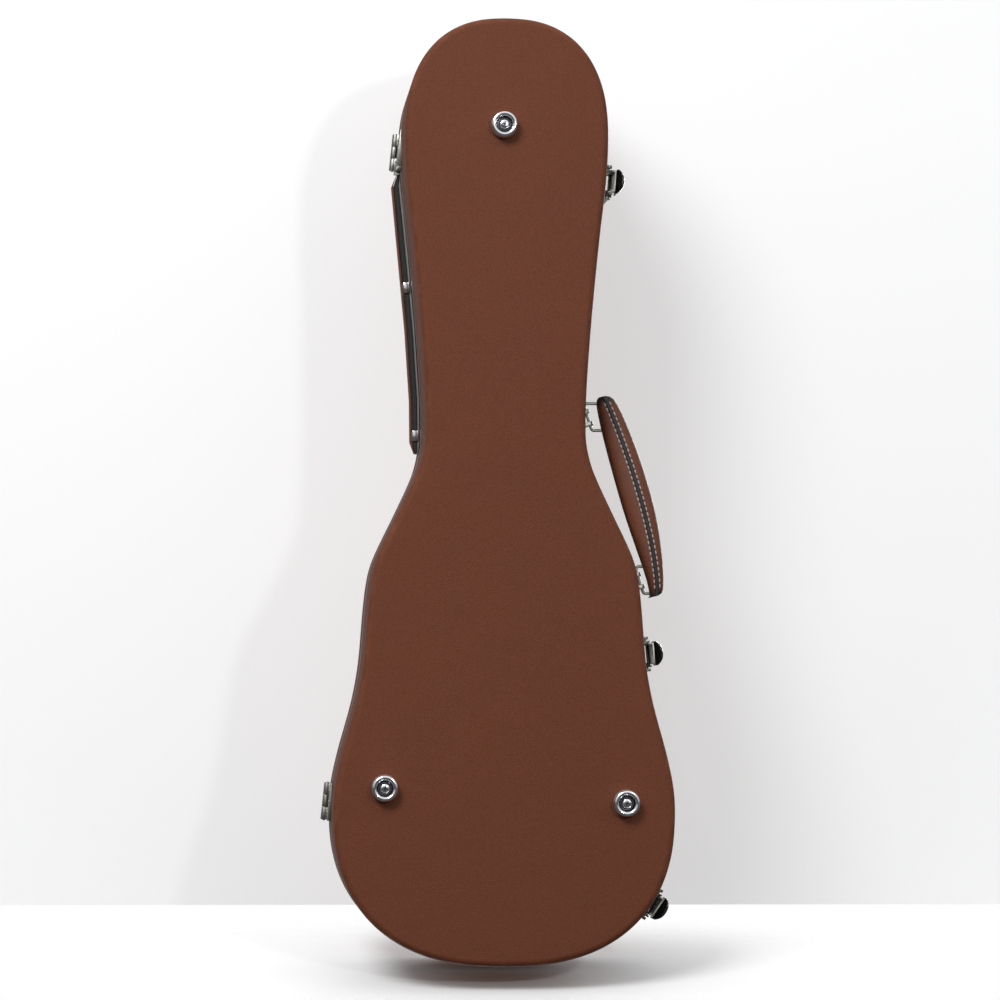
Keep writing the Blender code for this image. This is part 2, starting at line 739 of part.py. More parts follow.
def hinge_frame(at):
    low, high = hinge_tangent()
    along = (high - low).normalized()
    outward = Vector((along.y, -along.x, 0))
    start = low + outward * HINGE_AXIS_OUT
    origin = start + along * ((at - start.y) / along.y)
    return plan_frame(origin, outward) @ Matrix.Translation((0, 0, SEAM))


LID = pivot("lid_hinge_axis", hinge_frame((HINGE_LOWER_AT + HINGE_HEAD_AT) / 2))


def knuckles(piece, face, sections, toward):
    """Barrel sections and webs, joined to a leaf with its front at face. toward is +1 for the leaf above."""
    radius = HINGE_BARREL / 2
    root = min(-HINGE_AXIS_OUT + 2 * GAP, face - GAP)
    height = toward * (radius + HINGE_LEAF_CLEARANCE + HINGE_WEB_LAP)
    for y0, y1 in sections:
        middle = (y0 + y1) / 2
        combine(piece, rod(radius, y1 - y0, (0, middle, 0), "Y", 16), "UNION")
        web = block(root, -radius + HINGE_LEAF, y0, y1, *sorted((0, height)))
        combine(piece, web, "UNION")
    bore = rod(HINGE_PIN / 2 + HINGE_PIN_CLEARANCE, 2 * HINGE_LENGTH, (0, 0, 0), "Y", 12)
    combine(piece, bore, "DIFFERENCE")


def build_hinges():
    third = HINGE_LENGTH / 3
    half = HINGE_LENGTH / 2
    gap = HINGE_KNUCKLE_GAP
    clear = HINGE_BARREL / 2 + HINGE_LEAF_CLEARANCE
    for name, at in (("lower", HINGE_LOWER_AT), ("head", HINGE_HEAD_AT)):
        frame = hinge_frame(at)
        flat, face = flank_plate(frame, HINGE_LENGTH, HINGE_LEAF, -clear - HINGE_BODY_LEAF_HEIGHT, -clear)
        leaf = add(f"hinge_{name}_body_leaf", flat, NICKEL, place=frame, smooth=30)
        knuckles(leaf, face, [(-half, -half + third - gap / 2), (half - third + gap / 2, half)], -1)
        flat, face = flank_plate(frame, HINGE_LENGTH, HINGE_LEAF, clear, clear + HINGE_LID_LEAF_HEIGHT)
        leaf = add(f"hinge_{name}_lid_leaf", flat, NICKEL, parent=LID, place=frame, smooth=30)
        knuckles(leaf, face, [(-half + third + gap / 2, half - third - gap / 2)], 1)
        pin = rod(HINGE_PIN / 2, HINGE_LENGTH + 2 * HINGE_PIN_OVERHANG, (0, 0, 0), "Y", 12)
        add(f"hinge_{name}_pin", pin, NICKEL, place=frame, smooth=30)


# Latches
def build_latch(name, at):
    frame = flank_frame(at, -1) @ Matrix.Translation((0, 0, SEAM))
    half = LATCH_LENGTH / 2
    pin = LATCH_PIN / 2
    ear_out = LATCH_EAR_SPACING / 2 + LATCH_EAR_GAUGE
    ear_in = LATCH_EAR_SPACING / 2
    bottom = -LATCH_BASE_TOP - LATCH_BASE_HEIGHT
    flat, face = flank_plate(frame, LATCH_LENGTH, LATCH_BASE, bottom, -LATCH_BASE_TOP)
    px, pz = face + LATCH_PIVOT_OUT, -LATCH_PIVOT_DOWN
    base = add(f"latch_{name}_base", flat, NICKEL, place=frame, smooth=30)
    ear = pin + LATCH_EAR_WALL
    root = face - LATCH_EAR_ROOT
    section = [(root, pz - ear - LATCH_EAR_FLARE), (px, pz - ear)] + arc(px, pz, ear, -60, 60, 5)
    section += [(px, pz + ear), (root, pz + ear + LATCH_EAR_FLARE)]
    for side in (-1, 1):
        y0, y1 = sorted((side * ear_in, side * ear_out))
        combine(base, stacked([[(x, y, z) for x, z in section] for y in (y0, y1)]), "UNION")
        spot = (face, side * (half - RIVET_INSET), bottom + RIVET_INSET)
        rivet = rod(RIVET / 2, 2 * RIVET_HEIGHT, spot, "X", 10)
        combine(base, soften(rivet, RIVET_ROUND, 1), "UNION")
    combine(base, rod(pin, 2 * ear_in + LATCH_EAR_GAUGE, (px, 0, pz), "Y", 12), "UNION")

    # lever: a channel of sheet round the pivot pin, with two stubs that carry the hasp
    lever_place = frame @ Matrix.Translation((px, 0, pz))
    width = LEVER_WIDTH / 2
    crown = LEVER_BACK + LEVER_CROWN
    stub_edge = pin + LEVER_STUB_WALL
    section = arc(0, 0, crown, 180, 90, 3)[:-1] + [
        (LEVER_FRONT - LEVER_CHAMFER, crown), (LEVER_FRONT, LEVER_BACK), (LEVER_FRONT, -LEVER_LENGTH),
        (-LEVER_BACK + 0.001, -LEVER_LENGTH), (-LATCH_CRANK_IN - stub_edge, -LATCH_CRANK_DOWN - stub_edge),
    ]
    lever = add(
        f"latch_{name}_lever",
        stacked([[(x, y, z) for x, z in section] for y in (-width, width)]),
        NICKEL, place=lever_place, smooth=30,
    )
    within = width - LEVER_SHEET
    slot = block(-0.02, LEVER_FRONT - LEVER_SHEET, -within, within, -LEVER_LENGTH - 0.01, 0.01)
    combine(lever, slot, "DIFFERENCE")
    combine(lever, rod(pin + LATCH_PIN_CLEARANCE, 0.03, (0, 0, 0), "Y", 12), "DIFFERENCE")
    arm_in = ear_out + HASP_ARM_GAP
    arm_out = arm_in + HASP_ARM
    crank = (-LATCH_CRANK_IN, -LATCH_CRANK_DOWN)
    for side in (-1, 1):
        y0, y1 = sorted((side * (width - LEVER_SHEET / 2), side * arm_out))
        stub = rod(pin - LEVER_STUB_PLAY, y1 - y0, (crank[0], (y0 + y1) / 2, crank[1]), "Y", 10)
        combine(lever, stub, "UNION")

    # black cover of the lever, rounded at both ends, its lower edge turned out for the finger
    wide = COVER_WIDTH / 2
    x0 = LEVER_FRONT + GAP
    rings = []
    for share in (-1.0, -0.93, -0.78, -0.5, 0.0, 0.5, 0.78, 0.93, 1.0):
        swell = 0.26 + 0.74 * (1 - abs(share) ** 2.6)
        thick = COVER_THICKNESS * swell
        x1 = x0 + thick
        lip = COVER_LIP * swell
        trim = COVER_END_TRIM * abs(share) ** 4
        head, tail = -trim, -COVER_LENGTH + trim
        rings.append([(x, share * wide, z) for x, z in (
            (x0, head - 0.0010), (x0 + 0.3 * thick, head + 0.0006), (x1 - 0.3 * thick, head + 0.0002),
            (x1, head - 0.0030), (x1, tail + 0.0060), (x1 + lip, tail + 0.0022), (x1 + 0.6 * lip, tail),
            (x1 - lip, tail - 0.0002), (x0 + 0.2 * thick, tail + 0.0030), (x0, tail + 0.0050),
        )])
    add(
        f"latch_{name}_lever_cover", stacked(rings), BLACK_LACQUER,
        parent=f"latch_{name}_lever", place=lever_place, smooth=45,
    )

    # hasp: two arms hung on the stubs, and a bar that hooks over the keeper's ledge
    hasp_place = lever_place @ Matrix.Translation((crank[0], 0, crank[1]))
    ledge_top = KEEPER_LEDGE_TOP
    bar_bottom = ledge_top + GAP - pz - crank[1]
    gauge = HASP_GAUGE / 2
    bar_top = bar_bottom + HASP_BAR
    eye = pin + LATCH_EAR_WALL
    neck = eye + HASP_NECK
    section = arc(0, 0, eye, 150, 390, 10)
    section += [(gauge, neck), (gauge, bar_top), (-gauge, bar_top), (-gauge, neck)]
    arms = []
    for side in (-1, 1):
        y0, y1 = sorted((side * arm_in, side * arm_out))
        arms.append(stacked([[(x, y, z) for x, z in section] for y in (y0, y1)]))
    carrier = f"latch_{name}_lever"
    hasp = add(f"latch_{name}_hasp", arms[0], NICKEL, parent=carrier, place=hasp_place, smooth=30)
    combine(hasp, arms[1], "UNION")
    end = arm_out - HASP_BAR_INSET
    bar = block(-gauge - HASP_REACH, gauge + HASP_BAR_INSET, -end, end, bar_bottom, bar_top)
    combine(hasp, soften(bar, HASP_BAR_ROUND, 1), "UNION")
    bore = rod(pin - LEVER_STUB_PLAY + LATCH_PIN_CLEARANCE, 0.04, (0, 0, 0), "Y", 10)
    combine(hasp, bore, "DIFFERENCE")

    # keeper on the lid: a plate with the ledge that the hasp's bar hooks over
    flat, face = flank_plate(frame, KEEPER_WIDTH, KEEPER_PLATE, KEEPER_BOTTOM, KEEPER_BOTTOM + KEEPER_HEIGHT)
    keeper = add(f"latch_{name}_keeper", flat, NICKEL, parent=LID, place=frame, smooth=30)
    reach = px + crank[0] - gauge - HASP_REACH + KEEPER_LEDGE_END
    side = KEEPER_LEDGE_WIDTH / 2
    ledge = block(face - KEEPER_LEDGE_ROOT, reach, -side, side, ledge_top - KEEPER_LEDGE, ledge_top)
    combine(keeper, soften(ledge, KEEPER_LEDGE_ROUND, 1), "UNION")


# Handle
def grip_swell(share):
    return math.sin(math.pi * min(1.0, max(0.0, share)))


def grip_size(share):
    """Width and thickness of the grip along its length, from its flat lower end to its narrow tip."""
    swell = grip_swell(share) ** (1.05 if share < 0.5 else 0.38)
    end = GRIP_END_WIDTH + (GRIP_TIP_WIDTH - GRIP_END_WIDTH) * share
    thickness = GRIP_END_THICKNESS + (GRIP_THICKNESS - GRIP_END_THICKNESS) * swell
    return end + (GRIP_WIDTH - end) * swell, thickness


def grip_bow(share):
    """How far the middle of the grip stands out from the line between its ends."""
    return GRIP_BOW * (1.4 - 0.8 * share) * grip_swell(share) ** 0.35


def grip_ring(share, count=16):
    width, thickness = grip_size(share)
    ring = []
    for i in range(count):
        a = 2 * math.pi * i / count
        c, s = math.cos(a), math.sin(a)
        ring.append((
            grip_bow(share) + math.copysign(abs(c) ** 0.8, c) * width / 2,
            (share - 0.5) * -GRIP_LENGTH,
            math.copysign(abs(s) ** 0.8, s) * thickness / 2,
        ))
    return ring


def handle_frame():
    """On the line through both brackets' eyes: x out, y towards the tail, z up."""
    lower = flank_frame(HANDLE_LOWER_AT, -1) @ Vector((HANDLE_EYE_OUT, 0, 0))
    upper = flank_frame(HANDLE_UPPER_AT, -1) @ Vector((HANDLE_EYE_OUT, 0, 0))
    along = lower - upper
    outward = Vector((along.y, -along.x, 0)).normalized()
    middle = (lower + upper) / 2
    frame = plan_frame(middle, outward) @ Matrix.Translation((0, 0, HANDLE_Z))
    return frame, along.length / 2


def build_handle():
    frame, reach = handle_frame()
    axis = pivot("handle_axis", frame)
    grip_place = frame @ Matrix.Translation((GRIP_OUT, GRIP_SHIFT, 0)) @ Matrix.Rotation(GRIP_SKEW, 4, "Z")
    stations = [0.0, 0.03, 0.10, 0.2, 0.32, 0.44, 0.56, 0.68, 0.79, 0.88, 0.95, 0.985, 1.0]
    rings = [grip_ring(s) for s in stations]
    rings[0] = [(x * 0.86, y, z * 0.86) for x, y, z in rings[0]]
    rings[-1] = [(x * 0.55, y, z * 0.55) for x, y, z in rings[-1]]
    grip = add("handle_grip", stacked(rings), HANDLE_LEATHER, parent=axis, place=grip_place, smooth=50)

    # the sewn welt along the grip's lower face
    welt = []
    for i in range(13):
        share = 0.06 + 0.88 * i / 12
        y = (share - 0.5) * -GRIP_LENGTH
        width, thickness = grip_size(share)
        line = WELT_OFFSET * grip_swell(share)
        away = (2 * (line + WELT_WIDTH / 2) / width) ** 2.5
        face = -thickness / 2 - GAP
        back = face + thickness / 2 * (1 - (1 - away) ** 0.4) * 0.6
        x = grip_bow(share) + line
        half = WELT_WIDTH / 2
        welt.append([
            (x - half, y, face), (x - half * 0.6, y, face - WELT_HEIGHT * 0.8), (x, y, face - WELT_HEIGHT),
            (x + half * 0.6, y, face - WELT_HEIGHT * 0.8), (x + half, y, face),
        ])
    add("handle_welt", stacked(welt), WELT_LEATHER, parent=axis, place=grip_place, smooth=50)

    radius = WIRE / 2
    to_frame, to_grip = frame.inverted(), grip_place.inverted() @ frame
    across = to_frame.to_3x3() @ Vector((-1, 0, 0))
    lean = across.y / across.x

    def leg_end(start):
        """Where a leg that runs straight across the case ends inside the grip."""
        x = GRIP_OUT
        for _ in range(4):
            on_grip = to_grip @ Vector((x, start + (x - LOOP_CORNER) * lean, 0))
            share = min(1.0, max(0.0, 0.5 - on_grip.y / GRIP_LENGTH))
            inner = grip_place @ Vector((grip_bow(share) - grip_size(share)[0] / 2, on_grip.y, 0))
            x = (to_frame @ inner).x
        return x + LOOP_SEAT, start + (x + LOOP_SEAT - LOOP_CORNER) * lean

    for name, middle, at in (("lower", reach, HANDLE_LOWER_AT), ("upper", -reach, HANDLE_UPPER_AT)):
        # wire loop: its back runs through the bracket's eyes, its legs into the grip
        half = LOOP_LENGTH / 2
        path = []
        for side in (-1, 1):
            leg_y = middle + side * half
            corner = arc(LOOP_CORNER, leg_y - side * LOOP_CORNER, LOOP_CORNER, 180, 180 - side * 90, 3)
            leg = [leg_end(leg_y)]
            path += (leg + list(reversed(corner))) if side < 0 else (corner + leg)
        wire = bmesh.new()
        loops = []
        for i, (x, y) in enumerate(path):
            a = Vector(path[max(i - 1, 0)])
            b = Vector(path[min(i + 1, len(path) - 1)])
            heading = (b - a).normalized()
            side_way = Vector((heading.y, -heading.x))
            stretch = 1.0
            if 0 < i < len(path) - 1:
                turn = (Vector((x, y)) - a).normalized().dot((b - Vector((x, y))).normalized())
                stretch = 1 / math.sqrt(max(0.2, (1 + turn) / 2))
            loops.append([
                wire.verts.new((
                    x + side_way.x * radius * stretch * math.cos(k * math.pi / 5),
                    y + side_way.y * radius * stretch * math.cos(k * math.pi / 5),
                    radius * math.sin(k * math.pi / 5),
                ))
                for k in range(10)
            ])
        for p, q in zip(loops, loops[1:]):
            bridge(wire, p, q)
        wire.faces.new(list(reversed(loops[0])))
        wire.faces.new(loops[-1])
        add(f"handle_loop_{name}", wire, NICKEL, parent=axis, place=frame, smooth=60)
        for end in (path[0], path[-1]):
            depth = LOOP_SEAT + 0.010
            hole = rod(radius + WIRE_CLEARANCE, depth, (GAP - depth / 2, 0, 0), "X", 10)
            leg_place = Matrix.Translation((end[0], end[1], 0)) @ Matrix.Rotation(math.atan(lean), 4, "Z")
            bmesh.ops.transform(hole, matrix=to_grip @ leg_place, verts=hole.verts)
            combine(grip, hole, "DIFFERENCE")

        # bracket: a plate that follows the flank, with two eyes round the loop's back
        spot = frame @ Matrix.Translation((0, middle, 0))
        seat = flank_frame(at, -1) @ Matrix.Translation((0, 0, HANDLE_Z))
        length, height = BRACKET_LENGTH / 2, BRACKET_HEIGHT / 2
        crest = max(x for x, _ in flank_line(seat, -length, length, GAP))
        plate = soften(block(-0.004, crest + BRACKET_BASE, -length, length, -height, height), 0.0008, 1)
        bracket = add(f"handle_bracket_{name}", plate, NICKEL, place=seat, smooth=30)
        section = [(-EYE_ROOT, -EYE_RADIUS), (0, -EYE_RADIUS)] + arc(0, 0, EYE_RADIUS, -60, 60, 5)
        section += [(0, EYE_RADIUS), (-EYE_ROOT, EYE_RADIUS)]
        for side in (-1, 1):
            y0, y1 = sorted((side * (EYE_SPACING - EYE_WIDTH) / 2, side * (EYE_SPACING + EYE_WIDTH) / 2))
            eye = stacked([[(x, y, z) for x, z in section] for y in (y0, y1)])
            bmesh.ops.transform(eye, matrix=seat.inverted() @ spot, verts=eye.verts)
            combine(bracket, eye, "UNION")
        hole = rod(radius + WIRE_CLEARANCE, LOOP_LENGTH, (0, 0, 0), "Y", 12)
        bmesh.ops.transform(hole, matrix=seat.inverted() @ spot, verts=hole.verts)
        combine(bracket, hole, "DIFFERENCE")
        shell = stacked([[(p.x, p.y, HANDLE_Z + z) for p in outline_at(-GAP)] for z in (-0.02, 0.02)])
        bmesh.ops.transform(shell, matrix=seat.inverted(), verts=shell.verts)
        combine(bracket, shell, "DIFFERENCE")


# Lid
def build_lid():
    low = SEAM - VALANCE_SHEET + 2 * GAP + SEAL_THICKNESS
    web = low + VALANCE_SHEET
    band_top = low + LID_EDGE_BAND
    add(
        "lid_valance",
        case_band([
            (0, low), (0, band_top), (VALANCE_SHEET, band_top), (VALANCE_SHEET, web), (WALL, web),
            (WALL, low),
        ]),
        BLACK_LACQUER, parent=LID, smooth=25,
    )
    top = LID_PANEL_BOTTOM - GAP
    add(
        "lid_rim",
        case_band([
            (VALANCE_SHEET + GAP, web + GAP), (VALANCE_SHEET + GAP, band_top + GAP),
            (0, band_top + GAP), (0, top), (WALL, top), (WALL, web + GAP),
        ]),
        LEATHERETTE, parent=LID, smooth=25,
    )
    add(
        "lid_panel",
        case_panel(list(reversed(rounded_edge(TOP, -1) + [(0, LID_PANEL_BOTTOM)]))),
        LEATHERETTE, parent=LID, smooth=25,
    )
    lip = SEAM + VALANCE_LIP + 0.002
    ceiling = LID_PANEL_BOTTOM - GAP
    add(
        "lid_lining",
        case_panel([
            (INNER, ceiling), (INNER, lip), (INNER + LINING, lip + 0.001),
            (INNER + LINING, ceiling - LINING - 0.003), (INNER + LINING + 0.004, ceiling - LINING),
        ]),
        PLUSH, parent=LID, smooth=50,
    )


def build_edge_guard():
    right = RIGHT
    backing = (GAP, GAP + GUARD_BACKING)
    rubber = (backing[1] + GAP, backing[1] + GAP + GUARD_THICKNESS)
    facing = (rubber[1] + GAP, rubber[1] + GAP + GUARD_FACING)
    surface, lean = outline_at(0.0), outline_at(-facing[1])

    def along(points, y):
        for a, b in zip(points, points[1: len(right)]):
            if a.y <= y <= b.y:
                return a.lerp(b, (y - a.y) / (b.y - a.y))
        raise ValueError(y)

    stops = [y for _, y in right if GUARD_FROM + 0.001 < y < GUARD_TO - 0.001]
    for corner in (GUARD_FROM + GUARD_TAPER, GUARD_TO - GUARD_TAPER):
        if min(abs(corner - y) for y in stops) > 0.001:
            stops.append(corner)
    stops = [GUARD_FROM] + sorted(stops) + [GUARD_TO]

    def layer(inner, outer, shrink, start=0):
        """One strip of the guard, thinner towards both ends. inner and outer are distances from the flank."""
        rings = []
        for y in stops:
            full = min(1.0, min(y - GUARD_FROM, GUARD_TO - y) / GUARD_TAPER)
            thick = 0.35 + 0.65 * full
            a, b = along(surface, y), along(lean, y)
            reach = facing[1]
            gaps = GAP * (1 + start)
            f0 = (gaps + (inner - gaps) * thick) / reach
            f1 = (gaps + (outer - gaps) * thick) / reach
            p, q, r = a.lerp(b, f0), a.lerp(b, f1), a.lerp(b, f0 + 0.7 * (f1 - f0))
            low = SEAM + GUARD_LOW + shrink
            high = SEAM + GUARD_LOW + GUARD_HEIGHT * (0.5 + 0.5 * full) - shrink
            round_off = 0.3 * (outer - inner)
            rings.append([
                (p.x, p.y, low), (r.x, r.y, low), (q.x, q.y, low + round_off), (q.x, q.y, high - round_off),
                (r.x, r.y, high), (p.x, p.y, high),
            ])
        return stacked(rings)

    add("edge_guard_backing", layer(*backing, 0.0), SATIN, parent=LID, smooth=25)
    guard = add("edge_guard", layer(*rubber, 0.0, 1), BLACK_RUBBER, parent=LID, smooth=25)
    add("edge_guard_facing", layer(*facing, 0.0008, 2), HANDLE_LEATHER, parent=LID, smooth=25)
    for name, at in (("lower", CLIP_LOWER_AT), ("upper", CLIP_UPPER_AT)):
        frame = flank_frame(at, 1) @ Matrix.Translation((0, 0, SEAM))
        half = CLIP_LENGTH / 2
        foot = max(x for x, _ in flank_line(frame, -half, half, GAP))
        outer = min(x for x, _ in flank_line(frame, -half, half, rubber[1])) - 0.0001
        web = outer - CLIP_SHEET
        low, high = GUARD_LOW - GAP, GUARD_LOW + GUARD_HEIGHT + GAP
        notch = block(web - GAP, outer + 0.01, -half - GAP, half + GAP, low - 0.01, high + 0.01)
        bmesh.ops.transform(notch, matrix=frame, verts=notch.verts)
        combine(guard, notch, "DIFFERENCE")
        section = [
            (foot, high + CLIP_FOOT), (foot, high), (web, high), (web, low), (foot + 0.0006, low),
            (foot + 0.0006, low - CLIP_SHEET), (outer, low - CLIP_SHEET), (outer, high + CLIP_SHEET),
            (foot + CLIP_SHEET, high + CLIP_SHEET), (foot + CLIP_SHEET, high + CLIP_FOOT),
        ]
        clip = stacked([[(x, y, z) for x, z in section] for y in (-half, half)])
        add(f"edge_guard_clip_{name}", clip, CHROME, parent=LID, place=frame, smooth=30)


# Assemble
build_body()
build_feet()
build_inside()
build_hinges()
for latch, station in (("head", LATCH_HEAD_AT), ("middle", LATCH_MIDDLE_AT), ("tail", LATCH_TAIL_AT)):
    build_latch(latch, station)
build_handle()
build_lid()
build_edge_guard()

# the origin lies under the middle of the whole case
bpy.context.view_layer.update()
corners = [piece.matrix_world @ v.co for piece in PIECES for v in piece.data.vertices]
ROOT.location = (
    -(min(c.x for c in corners) + max(c.x for c in corners)) / 2,
    -(min(c.y for c in corners) + max(c.y for c in corners)) / 2,
    0,
)
bpy.context.view_layer.update()
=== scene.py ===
"""Dresses the ukulele case: leatherette shells, plush inside, stitched grip, plated fittings and the studio stage."""

import json
import math

import bmesh
import bpy
import numpy as np
from mathutils import Matrix, Vector, noise


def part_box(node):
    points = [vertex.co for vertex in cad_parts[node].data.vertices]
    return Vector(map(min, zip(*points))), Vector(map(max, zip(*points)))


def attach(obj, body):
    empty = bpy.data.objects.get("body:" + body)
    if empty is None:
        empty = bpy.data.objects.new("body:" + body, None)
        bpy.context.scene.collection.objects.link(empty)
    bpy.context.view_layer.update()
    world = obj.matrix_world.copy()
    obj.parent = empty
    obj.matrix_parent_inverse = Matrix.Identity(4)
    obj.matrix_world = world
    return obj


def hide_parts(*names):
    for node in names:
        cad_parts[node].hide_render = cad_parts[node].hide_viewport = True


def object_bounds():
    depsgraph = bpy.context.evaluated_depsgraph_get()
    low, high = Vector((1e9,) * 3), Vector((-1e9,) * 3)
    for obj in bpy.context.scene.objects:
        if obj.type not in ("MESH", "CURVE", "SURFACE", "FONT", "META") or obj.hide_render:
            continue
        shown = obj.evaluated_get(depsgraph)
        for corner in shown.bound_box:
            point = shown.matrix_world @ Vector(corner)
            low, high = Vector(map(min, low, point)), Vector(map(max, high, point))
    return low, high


bl_info = {
    "name": "Ukulele Case",
    "version": (1, 0, 0),
    "blender": (4, 5, 0),
    "location": "3D View > Sidebar > Case",
    "description": "Finishes, padding, stitching and stage of a shaped hard case for a ukulele",
    "category": "Object",
}

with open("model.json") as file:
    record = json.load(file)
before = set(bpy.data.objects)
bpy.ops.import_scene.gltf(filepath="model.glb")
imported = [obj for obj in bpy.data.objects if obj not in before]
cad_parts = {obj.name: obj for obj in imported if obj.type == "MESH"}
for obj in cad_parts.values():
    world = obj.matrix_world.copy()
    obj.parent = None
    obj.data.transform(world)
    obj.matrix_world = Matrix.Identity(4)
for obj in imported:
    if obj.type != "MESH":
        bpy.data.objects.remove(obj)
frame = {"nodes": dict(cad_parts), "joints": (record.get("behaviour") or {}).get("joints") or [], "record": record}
NODES = frame["nodes"]
JOINTS = {joint["name"]: joint for joint in frame["joints"]}
BODY_OF = {node: body for body, nodes in frame["record"]["behaviour"]["bodies"].items() for node in nodes}
SLOT_OF = {part["node"]: part["material_slot"] for part in frame["record"]["subparts"]}
CAD_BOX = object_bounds()
LATCHES = ("head", "middle", "tail")
FEET = ("head", "left", "right")


# Settings
def length(label, words, value):
    return bpy.props.FloatProperty(name=label, description=words, default=value, unit="LENGTH", precision=5)


def share(label, words, value, highest=1.0):
    return bpy.props.FloatProperty(name=label, description=words, default=value, min=0.0, max=highest)


def colour(label, words, value):
    return bpy.props.FloatVectorProperty(
        name=label, description=words, default=value, size=3, subtype="COLOR", min=0.0, max=1.0
    )


class CaseColours(bpy.types.PropertyGroup):
    leatherette: colour("Leatherette", "Colour of the covering on the shells", (0.142, 0.0392, 0.0156))
    grip: colour("Grip leather", "Colour of the handle's leather", (0.146, 0.039, 0.0135))
    welt: colour("Welt", "Colour of the welt in the grip's seam", (0.016, 0.013, 0.014))
    thread: colour("Thread", "Colour of the stitching", (0.420, 0.350, 0.340))
    plush: colour("Plush", "Colour of the lining", (0.034, 0.030, 0.032))
    ribbon: colour("Ribbon", "Colour of the pull tab", (0.085, 0.012, 0.014))
    grain: length("Grain", "Width of one pebble of the leatherette's grain", 0.0011)


class CaseShell(bpy.types.PropertyGroup):
    edge_radius: length("Edge radius", "Rounding of the panels' edges", 0.0050)
    wall: length("Wall", "Thickness of the rims", 0.0050)
    sheet: length("Sheet", "Thickness of the valance strips", 0.0012)
    lip: length("Lip", "How far the body's valance stands inside the rim", 0.0054)
    outline_steps: bpy.props.IntProperty(
        name="Outline steps", description="Points between two corners of the outline", default=5, min=1, max=12
    )


class CasePadding(bpy.types.PropertyGroup):
    crown: length("Crown", "How far a pad swells at its middle", 0.0018)
    voxel: length("Voxel", "Grid of a pad before it is inflated", 0.0045)
    pressure: bpy.props.FloatProperty(name="Pressure", description="Inflation of the pads", default=4.0)
    roll: length("Roll", "Radius of the piping along the padding's top", 0.0016)
    ripple: length("Ripple", "Unevenness of the glued plush", 0.00035)


class CaseHandle(bpy.types.PropertyGroup):
    span: length("Grip length", "Length of the grip", 0.146)
    width: length("Grip width", "Width of the grip at its middle", 0.0220)
    thickness: length("Grip thickness", "Thickness of the grip at its middle", 0.0150)
    end_width: length("End width", "Width of the blunt end", 0.0092)
    tip_width: length("Tip width", "Width of the narrow end", 0.0070)
    end_thickness: length("End thickness", "Thickness at both ends", 0.0090)
    bow: length("Bow", "How far the grip's middle stands out", 0.0053)
    out: length("Outwards", "How far the grip lies from the swing axis", 0.0100)
    shift: length("Shift", "How far the grip sits towards the tail", 0.0012)
    skew: bpy.props.FloatProperty(name="Skew", description="Turn of the grip", default=math.radians(3.2), subtype="ANGLE")
    welt_offset: length("Welt offset", "Distance of the seam from the middle line", 0.0024)
    welt_width: length("Welt width", "Width of the welt", 0.0030)
    stitch_side: length("Stitch side", "Distance of each row of stitches from the seam", 0.0019)
    stitch_pitch: length("Stitch pitch", "Distance from one stitch to the next", 0.0039)
    stitch_length: length("Stitch length", "Length of one stitch", 0.0030)
    thread: length("Thread", "Thickness of the thread", 0.0010)


class CaseFittings(bpy.types.PropertyGroup):
    sheet_edge: length("Sheet edge", "Rounding of the pressed parts' edges", 0.00025)
    rivet: length("Rivet", "Width of a rivet's head", 0.0032)
    foot_recess: share("Foot recess", "Width of a foot's recess, as a share of the foot", 0.60)
    foot_crown: length("Foot crown", "Height of the rounded ring that a foot stands on", 0.0017)
    foot_depth: length("Foot depth", "Depth of a foot's recess", 0.0044)
    screw_head: length("Screw head", "Width of a foot screw's head", 0.0076)
    screw_bore: length("Screw bore", "Radius of a foot's hole", 0.0023)
    screw_slot: length("Screw slot", "Width of a screw's cross", 0.0009)


class CaseStage(bpy.types.PropertyGroup):
    lean: bpy.props.FloatProperty(
        name="Lean", description="How far the case leans back", default=math.radians(10.0), subtype="ANGLE"
    )
    wall_gap: length("Wall gap", "Distance from the lid to the wall at the tail", 0.166)
    distance: length("Camera distance", "Distance of the camera from its target", 2.6)
    yaw: bpy.props.FloatProperty(name="Yaw", description="Turn of the camera", default=math.radians(4.4824), subtype="ANGLE")
    pitch: bpy.props.FloatProperty(name="Pitch", description="Rise of the camera", default=math.radians(3.1505), subtype="ANGLE")
    roll: bpy.props.FloatProperty(name="Roll", description="Roll of the camera", default=math.radians(0.1848), subtype="ANGLE")
    target_x: length("Target across", "What the camera looks at, across the case", 0.0019628)
    target_y: length("Target along", "What the camera looks at, along the case", -0.0080647)
    focal: bpy.props.FloatProperty(name="Focal length", description="Lens of the camera, in millimetres", default=135.476)
    key: bpy.props.FloatProperty(name="Key light", description="Strength of the light at the right", default=1.0)
    fill: bpy.props.FloatProperty(name="Fill light", description="Strength of the light at the left", default=1.0)
    sky: bpy.props.FloatProperty(name="Surroundings", description="Strength of the light from all sides", default=1.0)


def settings():
    return bpy.context.scene.ukulele_case


# Finishes
class Amount:
    """A number that changes over a surface. Arithmetic on it adds Math nodes."""

    def __init__(self, finish, socket):
        self.finish = finish
        self.socket = socket

    def worked(self, operation, *parts):
        made = self.finish.node("ShaderNodeMath", {"operation": operation}, dict(enumerate(parts)))
        return Amount(self.finish, made.outputs[0])

    def __add__(self, other):
        return self.worked("ADD", self, other)

    def __sub__(self, other):
        return self.worked("SUBTRACT", self, other)

    def __rsub__(self, other):
        return self.worked("SUBTRACT", other, self)

    def __mul__(self, other):
        return self.worked("MULTIPLY", self, other)

    def __truediv__(self, other):
        return self.worked("DIVIDE", self, other)

    def __pow__(self, other):
        return self.worked("POWER", self, other)

    def __abs__(self):
        return self.worked("ABSOLUTE", self)

    __radd__ = __add__
    __rmul__ = __mul__


